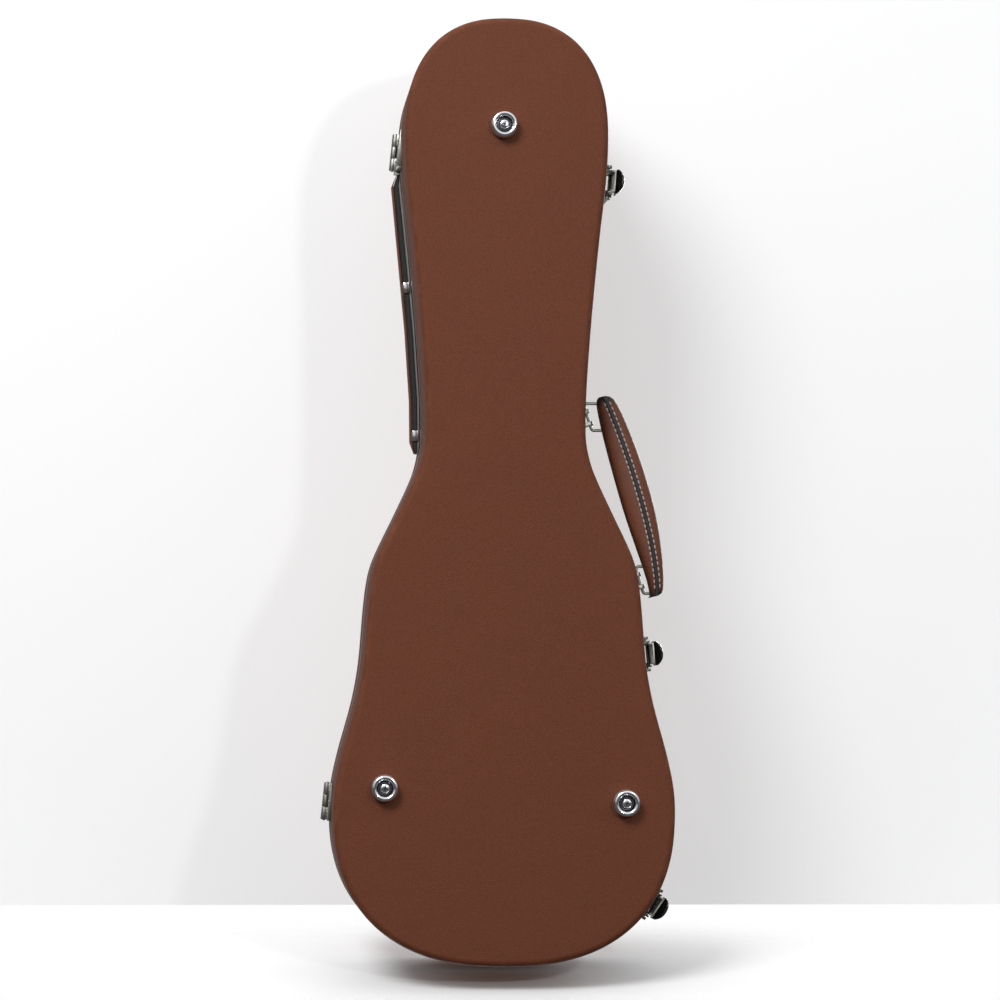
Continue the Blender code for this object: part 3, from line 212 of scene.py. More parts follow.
class Shading:
    """A node tree that is built one node at a time."""

    def __init__(self, tree):
        self.tree = tree

    def node(self, kind, choices=None, inputs=None):
        made = self.tree.nodes.new(kind)
        for key, value in (choices or {}).items():
            setattr(made, key, value)
        for key, value in (inputs or {}).items():
            self.feed(made.inputs[key], value)
        return made

    def feed(self, socket, value):
        source = value.socket if isinstance(value, Amount) else value
        if isinstance(source, bpy.types.NodeSocket):
            self.tree.links.new(source, socket)
        else:
            socket.default_value = source

    def step(self, amount, low, high):
        """0 below low, 1 above high and a smooth rise between them."""
        inputs = {"Value": amount, "From Min": low, "From Max": high}
        return Amount(self, self.node("ShaderNodeMapRange", {"interpolation_type": "SMOOTHSTEP"}, inputs).outputs[0])

    def part(self, vector, axis):
        """One coordinate of a vector."""
        return Amount(self, self.node("ShaderNodeSeparateXYZ", None, {0: vector}).outputs[axis])


class Finish(Shading):
    """A surface finish, built node by node round the Principled shader."""

    def __init__(self, name, rgb, roughness, metallic=0.0, **plain):
        self.material = bpy.data.materials.new(name)
        self.material.use_nodes = True
        super().__init__(self.material.node_tree)
        self.shader = self.tree.nodes["Principled BSDF"]
        self.rgb = tuple(rgb)
        self.feed(self.shader.inputs["Base Color"], (*self.rgb, 1.0))
        self.feed(self.shader.inputs["Roughness"], roughness)
        self.feed(self.shader.inputs["Metallic"], metallic)
        for socket, value in plain.items():
            self.feed(self.shader.inputs[socket.replace("_", " ").title().replace("Ior", "IOR")], value)
        coordinates = self.node("ShaderNodeTexCoord")
        self.place = coordinates.outputs["Object"]
        self.facing = coordinates.outputs["Normal"]

    def stretched(self, scale, turn=(0.0, 0.0, 0.0)):
        """The surface's own coordinates, stretched and turned."""
        return self.node("ShaderNodeMapping", None, {"Vector": self.place, "Scale": scale, "Rotation": turn}).outputs[0]

    def cloud(self, size, detail=3.0, rough=0.55, where=None):
        """Soft variation from 0 to 1, with features of a size in metres."""
        inputs = {"Vector": where or self.place, "Scale": 1 / size, "Detail": detail, "Roughness": rough}
        return Amount(self, self.node("ShaderNodeTexNoise", None, inputs).outputs["Fac"])

    def pebbles(self, size, where=None):
        """Distance from the creases between pebbles of a size in metres."""
        inputs = {"Vector": where or self.place, "Scale": 1 / size}
        made = self.node("ShaderNodeTexVoronoi", {"feature": "DISTANCE_TO_EDGE"}, inputs)
        return Amount(self, made.outputs["Distance"])

    def painted(self, name):
        """An amount that is painted on the piece's vertices."""
        return Amount(self, self.node("ShaderNodeAttribute", {"attribute_name": name}).outputs["Fac"])

    def mixed(self, amount, first, second):
        """A colour between two colours."""
        first, second = ((*c, 1.0) if isinstance(c, tuple) else c for c in (first, second))
        return self.node("ShaderNodeMix", {"data_type": "RGBA"}, {0: amount, 6: first, 7: second}).outputs[2]

    def shade(self, factor):
        """The finish's own colour times a factor."""
        return tuple(min(1.0, c * factor) for c in self.rgb)

    def paint(self, source):
        self.feed(self.shader.inputs["Base Color"], source)

    def roughen(self, amount):
        self.feed(self.shader.inputs["Roughness"], amount)

    def emboss(self, *reliefs):
        """Reliefs of (height, depth in metres), the coarsest first."""
        normal = None
        for height, depth in reliefs:
            inputs = {"Height": height, "Distance": depth, "Strength": 1.0}
            if normal is not None:
                inputs["Normal"] = normal
            normal = self.node("ShaderNodeBump", None, inputs).outputs["Normal"]
        self.feed(self.shader.inputs["Normal"], normal)


def leatherette_finish():
    """Fine-grained covering: pebbled, a little lighter and smoother where edges are handled, with painted shade that
    darkens the side walls a little.
    """
    chosen = settings().colours
    f = Finish("leatherette", chosen.leatherette, 0.56, specular_ior_level=0.26)
    crease = f.step(f.pebbles(chosen.grain), 0.02, 0.24)
    fine = f.cloud(0.0006, 2.0)
    patch = f.cloud(0.045, 3.0)
    fleck = f.cloud(0.0021, 2.0)
    # painted shade: the mask called rounded picks the side walls, whose normals lie level
    rounded = 1 - f.step(abs(f.part(f.facing, 2)), 0.05, 0.30)
    corner = f.step(abs(f.part(f.facing, 2)), 0.25, 0.60) * (1 - f.step(abs(f.part(f.facing, 2)), 0.80, 0.99))
    worn = corner * f.step(f.cloud(0.012, 4.0), 0.42, 0.70)
    tone = f.mixed(patch, f.shade(0.90), f.shade(1.08))
    tone = f.mixed(f.step(fleck, 0.35, 0.75) * 0.35, tone, f.shade(1.22))
    tone = f.mixed((1 - crease) * 0.55, tone, f.shade(0.62))
    tone = f.mixed(worn * 0.5, tone, f.shade(1.45))
    # the side walls are mixed towards a darker tone as painted shade
    f.paint(f.mixed(rounded * 0.12, tone, f.shade(0.80)))
    f.roughen(0.60 + (1 - crease) * 0.16 - worn * 0.10 + (patch - 0.5) * 0.08)
    f.emboss((f.cloud(0.030, 2.0), 0.0006), (crease + fine * 0.35, 0.00010))
    return f.material


def grip_finish():
    """Smooth hide, dark where the ends and the inner edge are inked."""
    chosen = settings().colours
    f = Finish("handle_leather", chosen.grip, 0.42, specular_ior_level=0.5)
    crease = f.step(f.pebbles(0.0009), 0.03, 0.22)
    wrinkle = f.cloud(0.004, 4.0, 0.6, f.stretched((1.0, 0.35, 1.0)))
    tone = f.mixed(f.cloud(0.014, 3.0), f.shade(0.72), f.shade(1.25))
    tone = f.mixed((1 - crease) * 0.5, tone, f.shade(0.55))
    f.paint(f.mixed(f.painted("inked"), tone, (0.010, 0.007, 0.006)))
    f.roughen(0.38 + (1 - crease) * 0.18 + f.cloud(0.008) * 0.10)
    f.emboss((wrinkle, 0.0005), (crease, 0.00008))
    return f.material


def strap_leather_finish():
    f = Finish("facing_leather", settings().colours.grip, 0.50, specular_ior_level=0.45)
    crease = f.step(f.pebbles(0.0010), 0.03, 0.22)
    tone = f.mixed(f.cloud(0.016, 3.0), f.shade(0.80), f.shade(1.15))
    f.paint(f.mixed((1 - crease) * 0.5, tone, f.shade(0.60)))
    f.roughen(0.48 + (1 - crease) * 0.16)
    f.emboss((f.cloud(0.010), 0.0004), (crease, 0.00009))
    return f.material


def welt_finish():
    f = Finish("welt_leather", settings().colours.welt, 0.55)
    f.paint(f.mixed(f.cloud(0.004, 3.0), f.shade(0.7), f.shade(1.8)))
    f.roughen(0.48 + f.cloud(0.002) * 0.2)
    f.emboss((f.cloud(0.0012, 3.0), 0.00020))
    return f.material


def thread_finish():
    f = Finish("waxed_thread", settings().colours.thread, 0.62)
    twist = f.cloud(0.0005, 2.0, 0.5, f.stretched((1.0, 0.4, 1.0), (0.0, 0.0, 0.7)))
    f.paint(f.mixed(twist, f.shade(0.65), f.shade(1.25)))
    f.roughen(0.55 + twist * 0.2)
    f.emboss((twist, 0.00010))
    return f.material


def plush_finish():
    """Short pile, laid different ways in patches, with the patches' sheen painted in as lighter and darker tone."""
    chosen = settings().colours
    f = Finish("plush", chosen.plush, 0.92, sheen_weight=0.65, sheen_roughness=0.38)
    f.feed(f.shader.inputs["Sheen Tint"], (0.75, 0.72, 0.76, 1.0))
    pile = f.cloud(0.0011, 3.0, 0.7)
    brushed_sheen = f.step(f.cloud(0.055, 3.0, 0.6, f.stretched((1.0, 0.6, 1.0))), 0.38, 0.64)
    # painted sheen: patches of the pile painted lighter and darker
    tone = f.mixed(brushed_sheen, f.shade(0.70), f.shade(1.55))
    f.paint(f.mixed((1 - pile) * 0.7, tone, f.shade(0.40)))
    f.roughen(0.84 + brushed_sheen * 0.12)
    f.emboss((f.cloud(0.018, 3.0), 0.0012), (pile, 0.00055))
    return f.material


def ribbon_finish():
    """Woven ribbon: a fine rib across the strip."""
    f = Finish("ribbon", settings().colours.ribbon, 0.55, sheen_weight=0.3)
    rib = Amount(f, f.node("ShaderNodeTexWave", {"bands_direction": "X"}, {"Vector": f.place, "Scale": 520.0, "Distortion": 0.6}).outputs["Fac"])
    f.paint(f.mixed(rib * 0.8, f.shade(0.55), f.shade(1.30)))
    f.roughen(0.50 + rib * 0.20)
    f.emboss((rib, 0.00012))
    return f.material


def plated_finish(name, rgb, roughness, scratch=0.06, tarnish=0.18):
    """Plated metal with faint scratches, dull patches and painted shade, near black, where the vertices carry the
    shaded amount.
    """
    f = Finish(name, rgb, roughness, 1.0)
    hair = f.cloud(0.0010, 4.0, 0.7, f.stretched((1.0, 0.06, 0.4), (0.3, 0.2, 0.9)))
    dull = f.step(f.cloud(0.006, 4.0, 0.6), 0.45, 0.75)
    tone = f.mixed(dull * tarnish, f.shade(1.0), f.shade(0.55))
    # painted shade: where shaded is painted, the metal is turned near black
    f.paint(f.mixed(f.painted("shaded"), tone, (0.035, 0.035, 0.045)))
    f.roughen(roughness + hair * scratch + dull * 0.10 + f.painted("shaded") * 0.25)
    f.emboss((hair, 0.000010))
    return f.material


def strip_finish():
    """Extruded strip with drawing lines along it."""
    f = Finish("satin_metal", (0.30, 0.29, 0.28), 0.42, 1.0)
    drawn = f.cloud(0.0009, 2.0, 0.6, f.stretched((0.05, 0.05, 1.0)))
    f.paint(f.mixed(f.cloud(0.010, 3.0), f.shade(0.80), f.shade(1.12)))
    f.roughen(0.34 + drawn * 0.22)
    f.emboss((drawn, 0.00002))
    return f.material


def lacquer_finish():
    """Black lacquer, a little rubbed."""
    f = Finish("black_lacquer", (0.010, 0.010, 0.011), 0.22, coat_weight=0.5, coat_roughness=0.12)
    rubbed = f.step(f.cloud(0.007, 4.0, 0.6), 0.50, 0.80)
    f.paint(f.mixed(rubbed * 0.4, f.shade(1.0), (0.045, 0.045, 0.047)))
    f.roughen(0.20 + rubbed * 0.22)
    f.emboss((f.cloud(0.0015, 3.0), 0.00003))
    return f.material


def rubber_finish():
    f = Finish("black_rubber", (0.013, 0.012, 0.012), 0.72)
    f.paint(f.mixed(f.cloud(0.009, 3.0), f.shade(0.75), f.shade(1.9)))
    f.roughen(0.62 + f.cloud(0.003) * 0.22)
    f.emboss((f.cloud(0.0008, 2.0), 0.00008))
    return f.material


FINISHES = {}


def finish(name):
    """A finish by the name of its slot, made once."""
    makers = {
        "leatherette": leatherette_finish,
        "handle_leather": grip_finish,
        "facing_leather": strap_leather_finish,
        "welt_leather": welt_finish,
        "thread": thread_finish,
        "plush": plush_finish,
        "ribbon": ribbon_finish,
        "chrome": lambda: plated_finish("chrome", (0.86, 0.86, 0.89), 0.09, 0.05, 0.10),
        "nickel": lambda: plated_finish("nickel", (0.30, 0.295, 0.27), 0.34, 0.10, 0.40),
        "satin_metal": strip_finish,
        "black_lacquer": lacquer_finish,
        "black_rubber": rubber_finish,
    }
    if name not in FINISHES:
        FINISHES[name] = makers[name]()
    return FINISHES[name]


# Working by hand
def alone(piece):
    """Selects one piece and nothing else."""
    bpy.ops.object.select_all(action="DESELECT")
    piece.select_set(True)
    bpy.context.view_layer.objects.active = piece


def edit(piece, kind="FACE"):
    """Goes into edit mode on one piece, with nothing selected."""
    alone(piece)
    bpy.ops.object.mode_set(mode="EDIT")
    bpy.ops.mesh.select_mode(type=kind)
    bpy.ops.mesh.select_all(action="DESELECT")


def choose(piece, wanted, kind="faces"):
    """Selects the faces, edges or vertices of the piece in edit mode that a test wants."""
    mesh = bmesh.from_edit_mesh(piece.data)
    for item in getattr(mesh, kind):
        item.select_set(bool(wanted(item)))
    mesh.select_flush_mode()
    bmesh.update_edit_mesh(piece.data)


def done():
    bpy.ops.object.mode_set(mode="OBJECT")


def modify(piece, kind, **choices):
    """Adds a modifier and applies it."""
    alone(piece)
    added = piece.modifiers.new(kind.title(), kind)
    for key, value in choices.items():
        setattr(added, key, value)
    bpy.ops.object.modifier_apply(modifier=added.name)


def settle(piece):
    """Puts the piece's place into its mesh."""
    alone(piece)
    bpy.ops.object.transform_apply(location=True, rotation=True, scale=True)


def tidy_faces(piece, angle=30.0):
    edit(piece)
    bpy.ops.mesh.select_all(action="SELECT")
    bpy.ops.mesh.remove_doubles(threshold=0.00001)
    bpy.ops.mesh.normals_make_consistent(inside=False)
    done()
    bpy.ops.object.shade_smooth_by_angle(angle=math.radians(angle))


def hand_over(piece, name, body, slot, surface=None, replaces=()):
    """Names a finished piece, gives it its finish and lets it ride on its body."""
    piece.name = name
    piece.data.name = name
    piece.data.materials.clear()
    piece.data.materials.append(finish(surface or slot))
    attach(piece, body)
    if replaces:
        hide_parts(*replaces)
    return piece


def joined(pieces):
    bpy.ops.object.select_all(action="DESELECT")
    for piece in pieces:
        piece.select_set(True)
    bpy.context.view_layer.objects.active = pieces[0]
    if len(pieces) > 1:
        bpy.ops.object.join()
    return bpy.context.view_layer.objects.active


def copy_of_node(node, whole=True):
    """A merged copy of a solid, with its flat faces made whole again."""
    source = NODES[node]
    bpy.ops.object.select_all(action="DESELECT")
    mesh = source.data.copy()
    piece = bpy.data.objects.new(node + "_cover", mesh)
    bpy.context.scene.collection.objects.link(piece)
    for key in list(piece.keys()):
        del piece[key]
    edit(piece)
    bpy.ops.mesh.select_all(action="SELECT")
    bpy.ops.mesh.remove_doubles(threshold=0.000002)
    if whole:
        bpy.ops.mesh.dissolve_limited(angle_limit=math.radians(1.0))
    bpy.ops.mesh.customdata_custom_splitnormals_clear()
    done()
    return piece


def refined(node, radius, name, segments=2, surface=None, angle=34.0):
    """The solid with its hard edges eased."""
    piece = copy_of_node(node)
    modify(
        piece, "BEVEL", width=radius, segments=segments, limit_method="ANGLE",
        angle_limit=math.radians(angle), harden_normals=False, loop_slide=False,
    )
    alone(piece)
    bpy.ops.object.shade_smooth_by_angle(angle=math.radians(40))
    return hand_over(piece, name, BODY_OF[node], SLOT_OF[node], surface, [node])


# The case's outline
def outline_points():
    """The case's outline from its back panel, as a smooth closed line."""
    low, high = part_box("back_panel")
    corners = {
        (round(v.co.x, 6), round(v.co.y, 6)) for v in NODES["back_panel"].data.vertices if v.co.z > high.z - 0.00001
    }
    middle = (low + high) / 2
    ring = [Vector(p) for p in sorted(corners, key=lambda p: math.atan2(p[1] - middle.y, p[0] - middle.x))]
    ring = [p for p in ring if (p - middle.to_2d()).length > 0.02]
    steps = settings().shell.outline_steps
    line = []
    for i, here in enumerate(ring):
        before, after, beyond = ring[i - 1], ring[(i + 1) % len(ring)], ring[(i + 2) % len(ring)]
        chord = (after - here).length
        leave = (after - before) / ((after - here).length + (here - before).length)
        arrive = (beyond - here) / ((beyond - after).length + chord)
        for k in range(steps):
            t = k / steps
            line.append(
                here * (2 * t**3 - 3 * t**2 + 1)
                + leave * chord * (t**3 - 2 * t**2 + t)
                + after * (3 * t**2 - 2 * t**3)
                + arrive * chord * (t**3 - t**2)
            )
    return line


def line_object(points, closed):
    """A line through points, made from a circle primitive and turned into a curve."""
    bpy.ops.object.select_all(action="DESELECT")
    bpy.ops.mesh.primitive_circle_add(vertices=len(points), fill_type="NOTHING")
    line = bpy.context.active_object
    for vertex, point in zip(line.data.vertices, points):
        vertex.co = (*point[:2], 0.0)
    if not closed:
        edit(line, "EDGE")
        last = len(points) - 1
        choose(line, lambda e: {v.index for v in e.verts} == {0, last}, "edges")
        bpy.ops.mesh.delete(type="EDGE")
        done()
    alone(line)
    bpy.ops.object.convert(target="CURVE")
    return bpy.context.active_object


def swept(section, closed=True):
    """A section of (inset, height) carried round the case's outline."""
    profile = line_object([(inset, height) for inset, height in section], closed)
    path = line_object(outline_points(), True)
    path.data.dimensions = "2D"
    path.data.fill_mode = "NONE"
    path.data.bevel_mode = "OBJECT"
    path.data.bevel_object = profile
    alone(path)
    bpy.ops.object.convert(target="MESH")
    shell = bpy.context.active_object
    bpy.data.objects.remove(profile)
    if not closed:
        edit(shell)
        bpy.ops.mesh.select_all(action="SELECT")
        bpy.ops.mesh.remove_doubles(threshold=0.000001)
        bpy.ops.mesh.select_all(action="DESELECT")
        bpy.ops.mesh.select_mode(type="EDGE")
        bpy.ops.mesh.select_non_manifold(extend=False)
        bpy.ops.mesh.edge_face_add()
        done()
    tidy_faces(shell)
    return shell


def quarter(cx, cz, radius, first, last, steps=6):
    """Points of an arc in a section, angles in degrees."""
    return [
        (cx + radius * math.cos(math.radians(first + (last - first) * k / steps)),
         cz + radius * math.sin(math.radians(first + (last - first) * k / steps)))
        for k in range(steps + 1)
    ]


def eased(corners, radius, steps=3):
    """A closed section with its corners rounded."""
    section = []
    for i, corner in enumerate(corners):
        here, before, after = Vector(corner), Vector(corners[i - 1]), Vector(corners[(i + 1) % len(corners)])
        to_before, to_after = (before - here), (after - here)
        reach = min(radius, to_before.length * 0.45, to_after.length * 0.45)
        a, b = here + to_before.normalized() * reach, here + to_after.normalized() * reach
        for k in range(steps + 1):
            t = k / steps
            section.append(tuple(a * (1 - t) ** 2 + here * 2 * t * (1 - t) + b * t * t))
    return section


class CASE_OT_shells(bpy.types.Operator):
    """Make the leatherette shells, their metal edges and the seal between them"""

    bl_idname = "case.shells"
    bl_label = "Shells"

    def execute(self, context):
        shell = settings().shell
        radius, wall, sheet, lip = shell.edge_radius, shell.wall, shell.sheet, shell.lip
        for node, name, outer in (("back_panel", "back_cover", -1), ("lid_panel", "lid_cover", 1)):
            low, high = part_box(node)
            flat, inner = (low.z, high.z) if outer < 0 else (high.z, low.z)
            centre = flat - outer * radius
            arc = [
                (radius - radius * math.sin(a), centre + outer * radius * math.cos(a))
                for a in (math.radians(90 * k / 10) for k in range(11))
            ]
            hand_over(swept(arc + [(0.0, inner - outer * -0.0003), (0.0004, inner)], False), name, BODY_OF[node], "leatherette", None, [node])

        low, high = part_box("body_rim")
        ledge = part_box("body_valance")[0].z - 0.0003
        corners = [(0, low.z), (0, ledge), (sheet + 0.0003, ledge), (sheet + 0.0003, high.z), (wall, high.z), (wall, low.z)]
        hand_over(swept(eased(corners, 0.0005)), "body_side", "case_body", "leatherette", None, ["body_rim"])

        low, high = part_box("lid_rim")
        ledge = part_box("lid_valance")[1].z + 0.0003
        corners = [(sheet + 0.0003, low.z), (sheet + 0.0003, ledge), (0, ledge), (0, high.z), (wall, high.z), (wall, low.z)]
        hand_over(swept(eased(corners, 0.0005)), "lid_side", "lid", "leatherette", None, ["lid_rim"])

        low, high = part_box("body_valance")
        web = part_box("seam_gasket")[0].z - 0.0003
        corners = [
            (0, low.z), (0, web), (lip, web), (lip, high.z), (lip + sheet, high.z), (lip + sheet, web - sheet),
            (sheet, web - sheet), (sheet, low.z),
        ]
        hand_over(swept(eased(corners, 0.00035)), "body_edge_strip", "case_body", "satin_metal", None, ["body_valance"])

        # the lid's valance strip is black lacquer; its black band along the seam is also painted shade, standing for
        # the shade in the seam
        low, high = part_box("lid_valance")
        corners = [
            (0, low.z), (0, high.z), (sheet, high.z), (sheet, low.z + sheet), (wall, low.z + sheet), (wall, low.z),
        ]
        hand_over(swept(eased(corners, 0.00035)), "lid_edge_strip", "lid", "black_lacquer", None, ["lid_valance"])

        low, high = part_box("seam_gasket")
        corners = [(0.0004, low.z), (0.0004, high.z), (0.0046, high.z), (0.0046, low.z)]
        hand_over(swept(eased(corners, 0.0006)), "edge_seal", "case_body", "black_rubber", None, ["seam_gasket"])
        return {"FINISHED"}


# Inside
def rippled(piece, depth, size=0.03):
    """Moves the surface in and out a little, as glued plush lies."""
    for vertex in piece.data.vertices:
        vertex.co += vertex.normal * depth * noise.noise(vertex.co / size)


def inflated(node, voxel, swell, start):
    """A pad from a solid: gridded, drawn in, then blown up as cloth and held to a cap."""
    piece = copy_of_node(node)
    modify(piece, "REMESH", mode="VOXEL", voxel_size=voxel, adaptivity=0.0, use_smooth_shade=True)
    modify(piece, "SMOOTH", factor=0.5, iterations=3)
    edit(piece)
    bpy.ops.mesh.select_all(action="SELECT")
    bpy.ops.mesh.normals_make_consistent(inside=False)
    bpy.ops.transform.shrink_fatten(value=-start)
    done()
    rest = np.zeros(len(piece.data.vertices) * 3)
    piece.data.vertices.foreach_get("co", rest)
    rest = rest.reshape(-1, 3)
    cloth = piece.modifiers.new("Cloth", "CLOTH")
    cloth.settings.use_pressure = True
    cloth.settings.uniform_pressure_force = settings().padding.pressure
    cloth.settings.effector_weights.gravity = 0.0
    cloth.settings.quality = 5
    cloth.point_cache.frame_start, cloth.point_cache.frame_end = 1, 20
    scene = bpy.context.scene
    for number in range(1, 21):
        scene.frame_set(number)
    alone(piece)
    bpy.ops.object.modifier_apply(modifier=cloth.name)
    scene.frame_set(1)
    moved = np.zeros(len(rest) * 3)
    piece.data.vertices.foreach_get("co", moved)
    away = moved.reshape(-1, 3) - rest
    reach = np.linalg.norm(away, axis=1, keepdims=True)
    away *= np.minimum(1.0, swell / np.maximum(reach, 1e-9))
    piece.data.vertices.foreach_set("co", (rest + away).ravel())
    piece.data.update()
    return piece


class CASE_OT_padding(bpy.types.Operator):
    """Make the plush pads on the floor, the walls and the lid, and the neck cradle"""

    bl_idname = "case.padding"
    bl_label = "Padding"

    def execute(self, context):
        pads = settings().padding
        low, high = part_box("rim_padding")
        inset = settings().shell.wall + 0.0003
        depth = 0.010
        bulge = 0.0012
        face = inset + depth
        section = (
            [(inset, low.z), (inset, high.z - 0.003)]
            + quarter(inset + 0.004, high.z - 0.004, 0.004, 180, 90, 4)
            + quarter(face - 0.004, high.z - 0.004, 0.004, 90, 0, 4)
        )
        for k in range(1, 9):
            t = k / 9
            section.append((face + bulge * math.sin(math.pi * t) ** 0.7, high.z - 0.004 - (high.z - 0.004 - low.z) * t))
        section.append((face - 0.001, low.z))
        wall_pad = swept(section)
        rippled(wall_pad, pads.ripple)
        hand_over(wall_pad, "wall_pad", "case_body", "plush", None, ["rim_padding"])

        low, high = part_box("lid_lining")
        thick = 0.0055
        section = (
            [(inset, high.z), (inset, low.z + 0.001)]
            + quarter(inset + thick / 2, low.z + thick / 2, thick / 2, 180, 360, 6)
            + [(inset + thick, low.z + 0.008)]
            + quarter(inset + thick + 0.005, high.z - thick - 0.005, 0.005, 180, 90, 5)
            + [(inset + thick + 0.012, high.z - thick - 0.0005), (inset + thick + 0.022, high.z - thick - 0.0012)]
        )
        lining = swept(section, False)
        hand_over(lining, "lid_plush", "lid", "plush", None, ["lid_lining"])

        floor = inflated("floor_pad", pads.voxel, pads.crown, 0.0007)
        alone(floor)
        bpy.ops.object.shade_smooth()
        hand_over(floor, "floor_cushion", "case_body", "plush", None, ["floor_pad"])

        cradle = inflated("neck_cradle", pads.voxel * 0.62, pads.crown * 1.2, 0.0011)
        modify(cradle, "SUBSURF", levels=1, render_levels=1)
        alone(cradle)
        bpy.ops.object.shade_smooth()
        hand_over(cradle, "neck_rest", "case_body", "plush", None, ["neck_cradle"])
        return {"FINISHED"}


class CASE_OT_accessory_box(bpy.types.Operator):
    """Ease the edges of the accessory box's boards and of its pull tab, each in its slot's finish"""

    bl_idname = "case.accessory_box"
    bl_label = "Accessory box"

    def execute(self, context):
        for node in ("compartment_end_wall", "compartment_deck", "compartment_flap"):
            refined(node, 0.0009, node.replace("compartment", "box"), 3)
        refined("flap_pull_tab", 0.00015, "pull_tab", 2)
        return {"FINISHED"}


# Handle
def grip_place():
    """Where the grip lies: x outwards, y towards the tail, z up."""
    swing = JOINTS["handle_swing"]
    along = Vector(swing["axis"])
    up = Vector((0, 0, 1))
    turn = Matrix((along.cross(up), along, up)).transposed().to_4x4()
    h = settings().handle
    return (
        Matrix.Translation(swing["pos_m"]) @ turn @ Matrix.Translation((h.out, h.shift, 0)) @ Matrix.Rotation(h.skew, 4, "Z")
    )


def grip_swell(share_along):
    return math.sin(math.pi * min(1.0, max(0.0, share_along)))


def grip_size(share_along):
    """Width and thickness along the grip, from its blunt end to its narrow tip."""
    h = settings().handle
    swell = grip_swell(share_along) ** (1.05 if share_along < 0.5 else 0.38)
    end = h.end_width + (h.tip_width - h.end_width) * share_along
    return end + (h.width - end) * swell, h.end_thickness + (h.thickness - h.end_thickness) * swell


def grip_bow(share_along):
    return settings().handle.bow * (1.4 - 0.8 * share_along) * grip_swell(share_along) ** 0.35


def seam_point(share_along, side=0.0):
    """A point of the grip's lower face on the seam, or beside it."""
    h = settings().handle
    width, thickness = grip_size(share_along)
    across = h.welt_offset * grip_swell(share_along) + side
    off = min(0.98, abs(2 * across / width))
    return Vector((
        grip_bow(share_along) + across,
        (0.5 - share_along) * h.span,
        -thickness / 2 * (1 - off**2.5) ** 0.4,
    ))


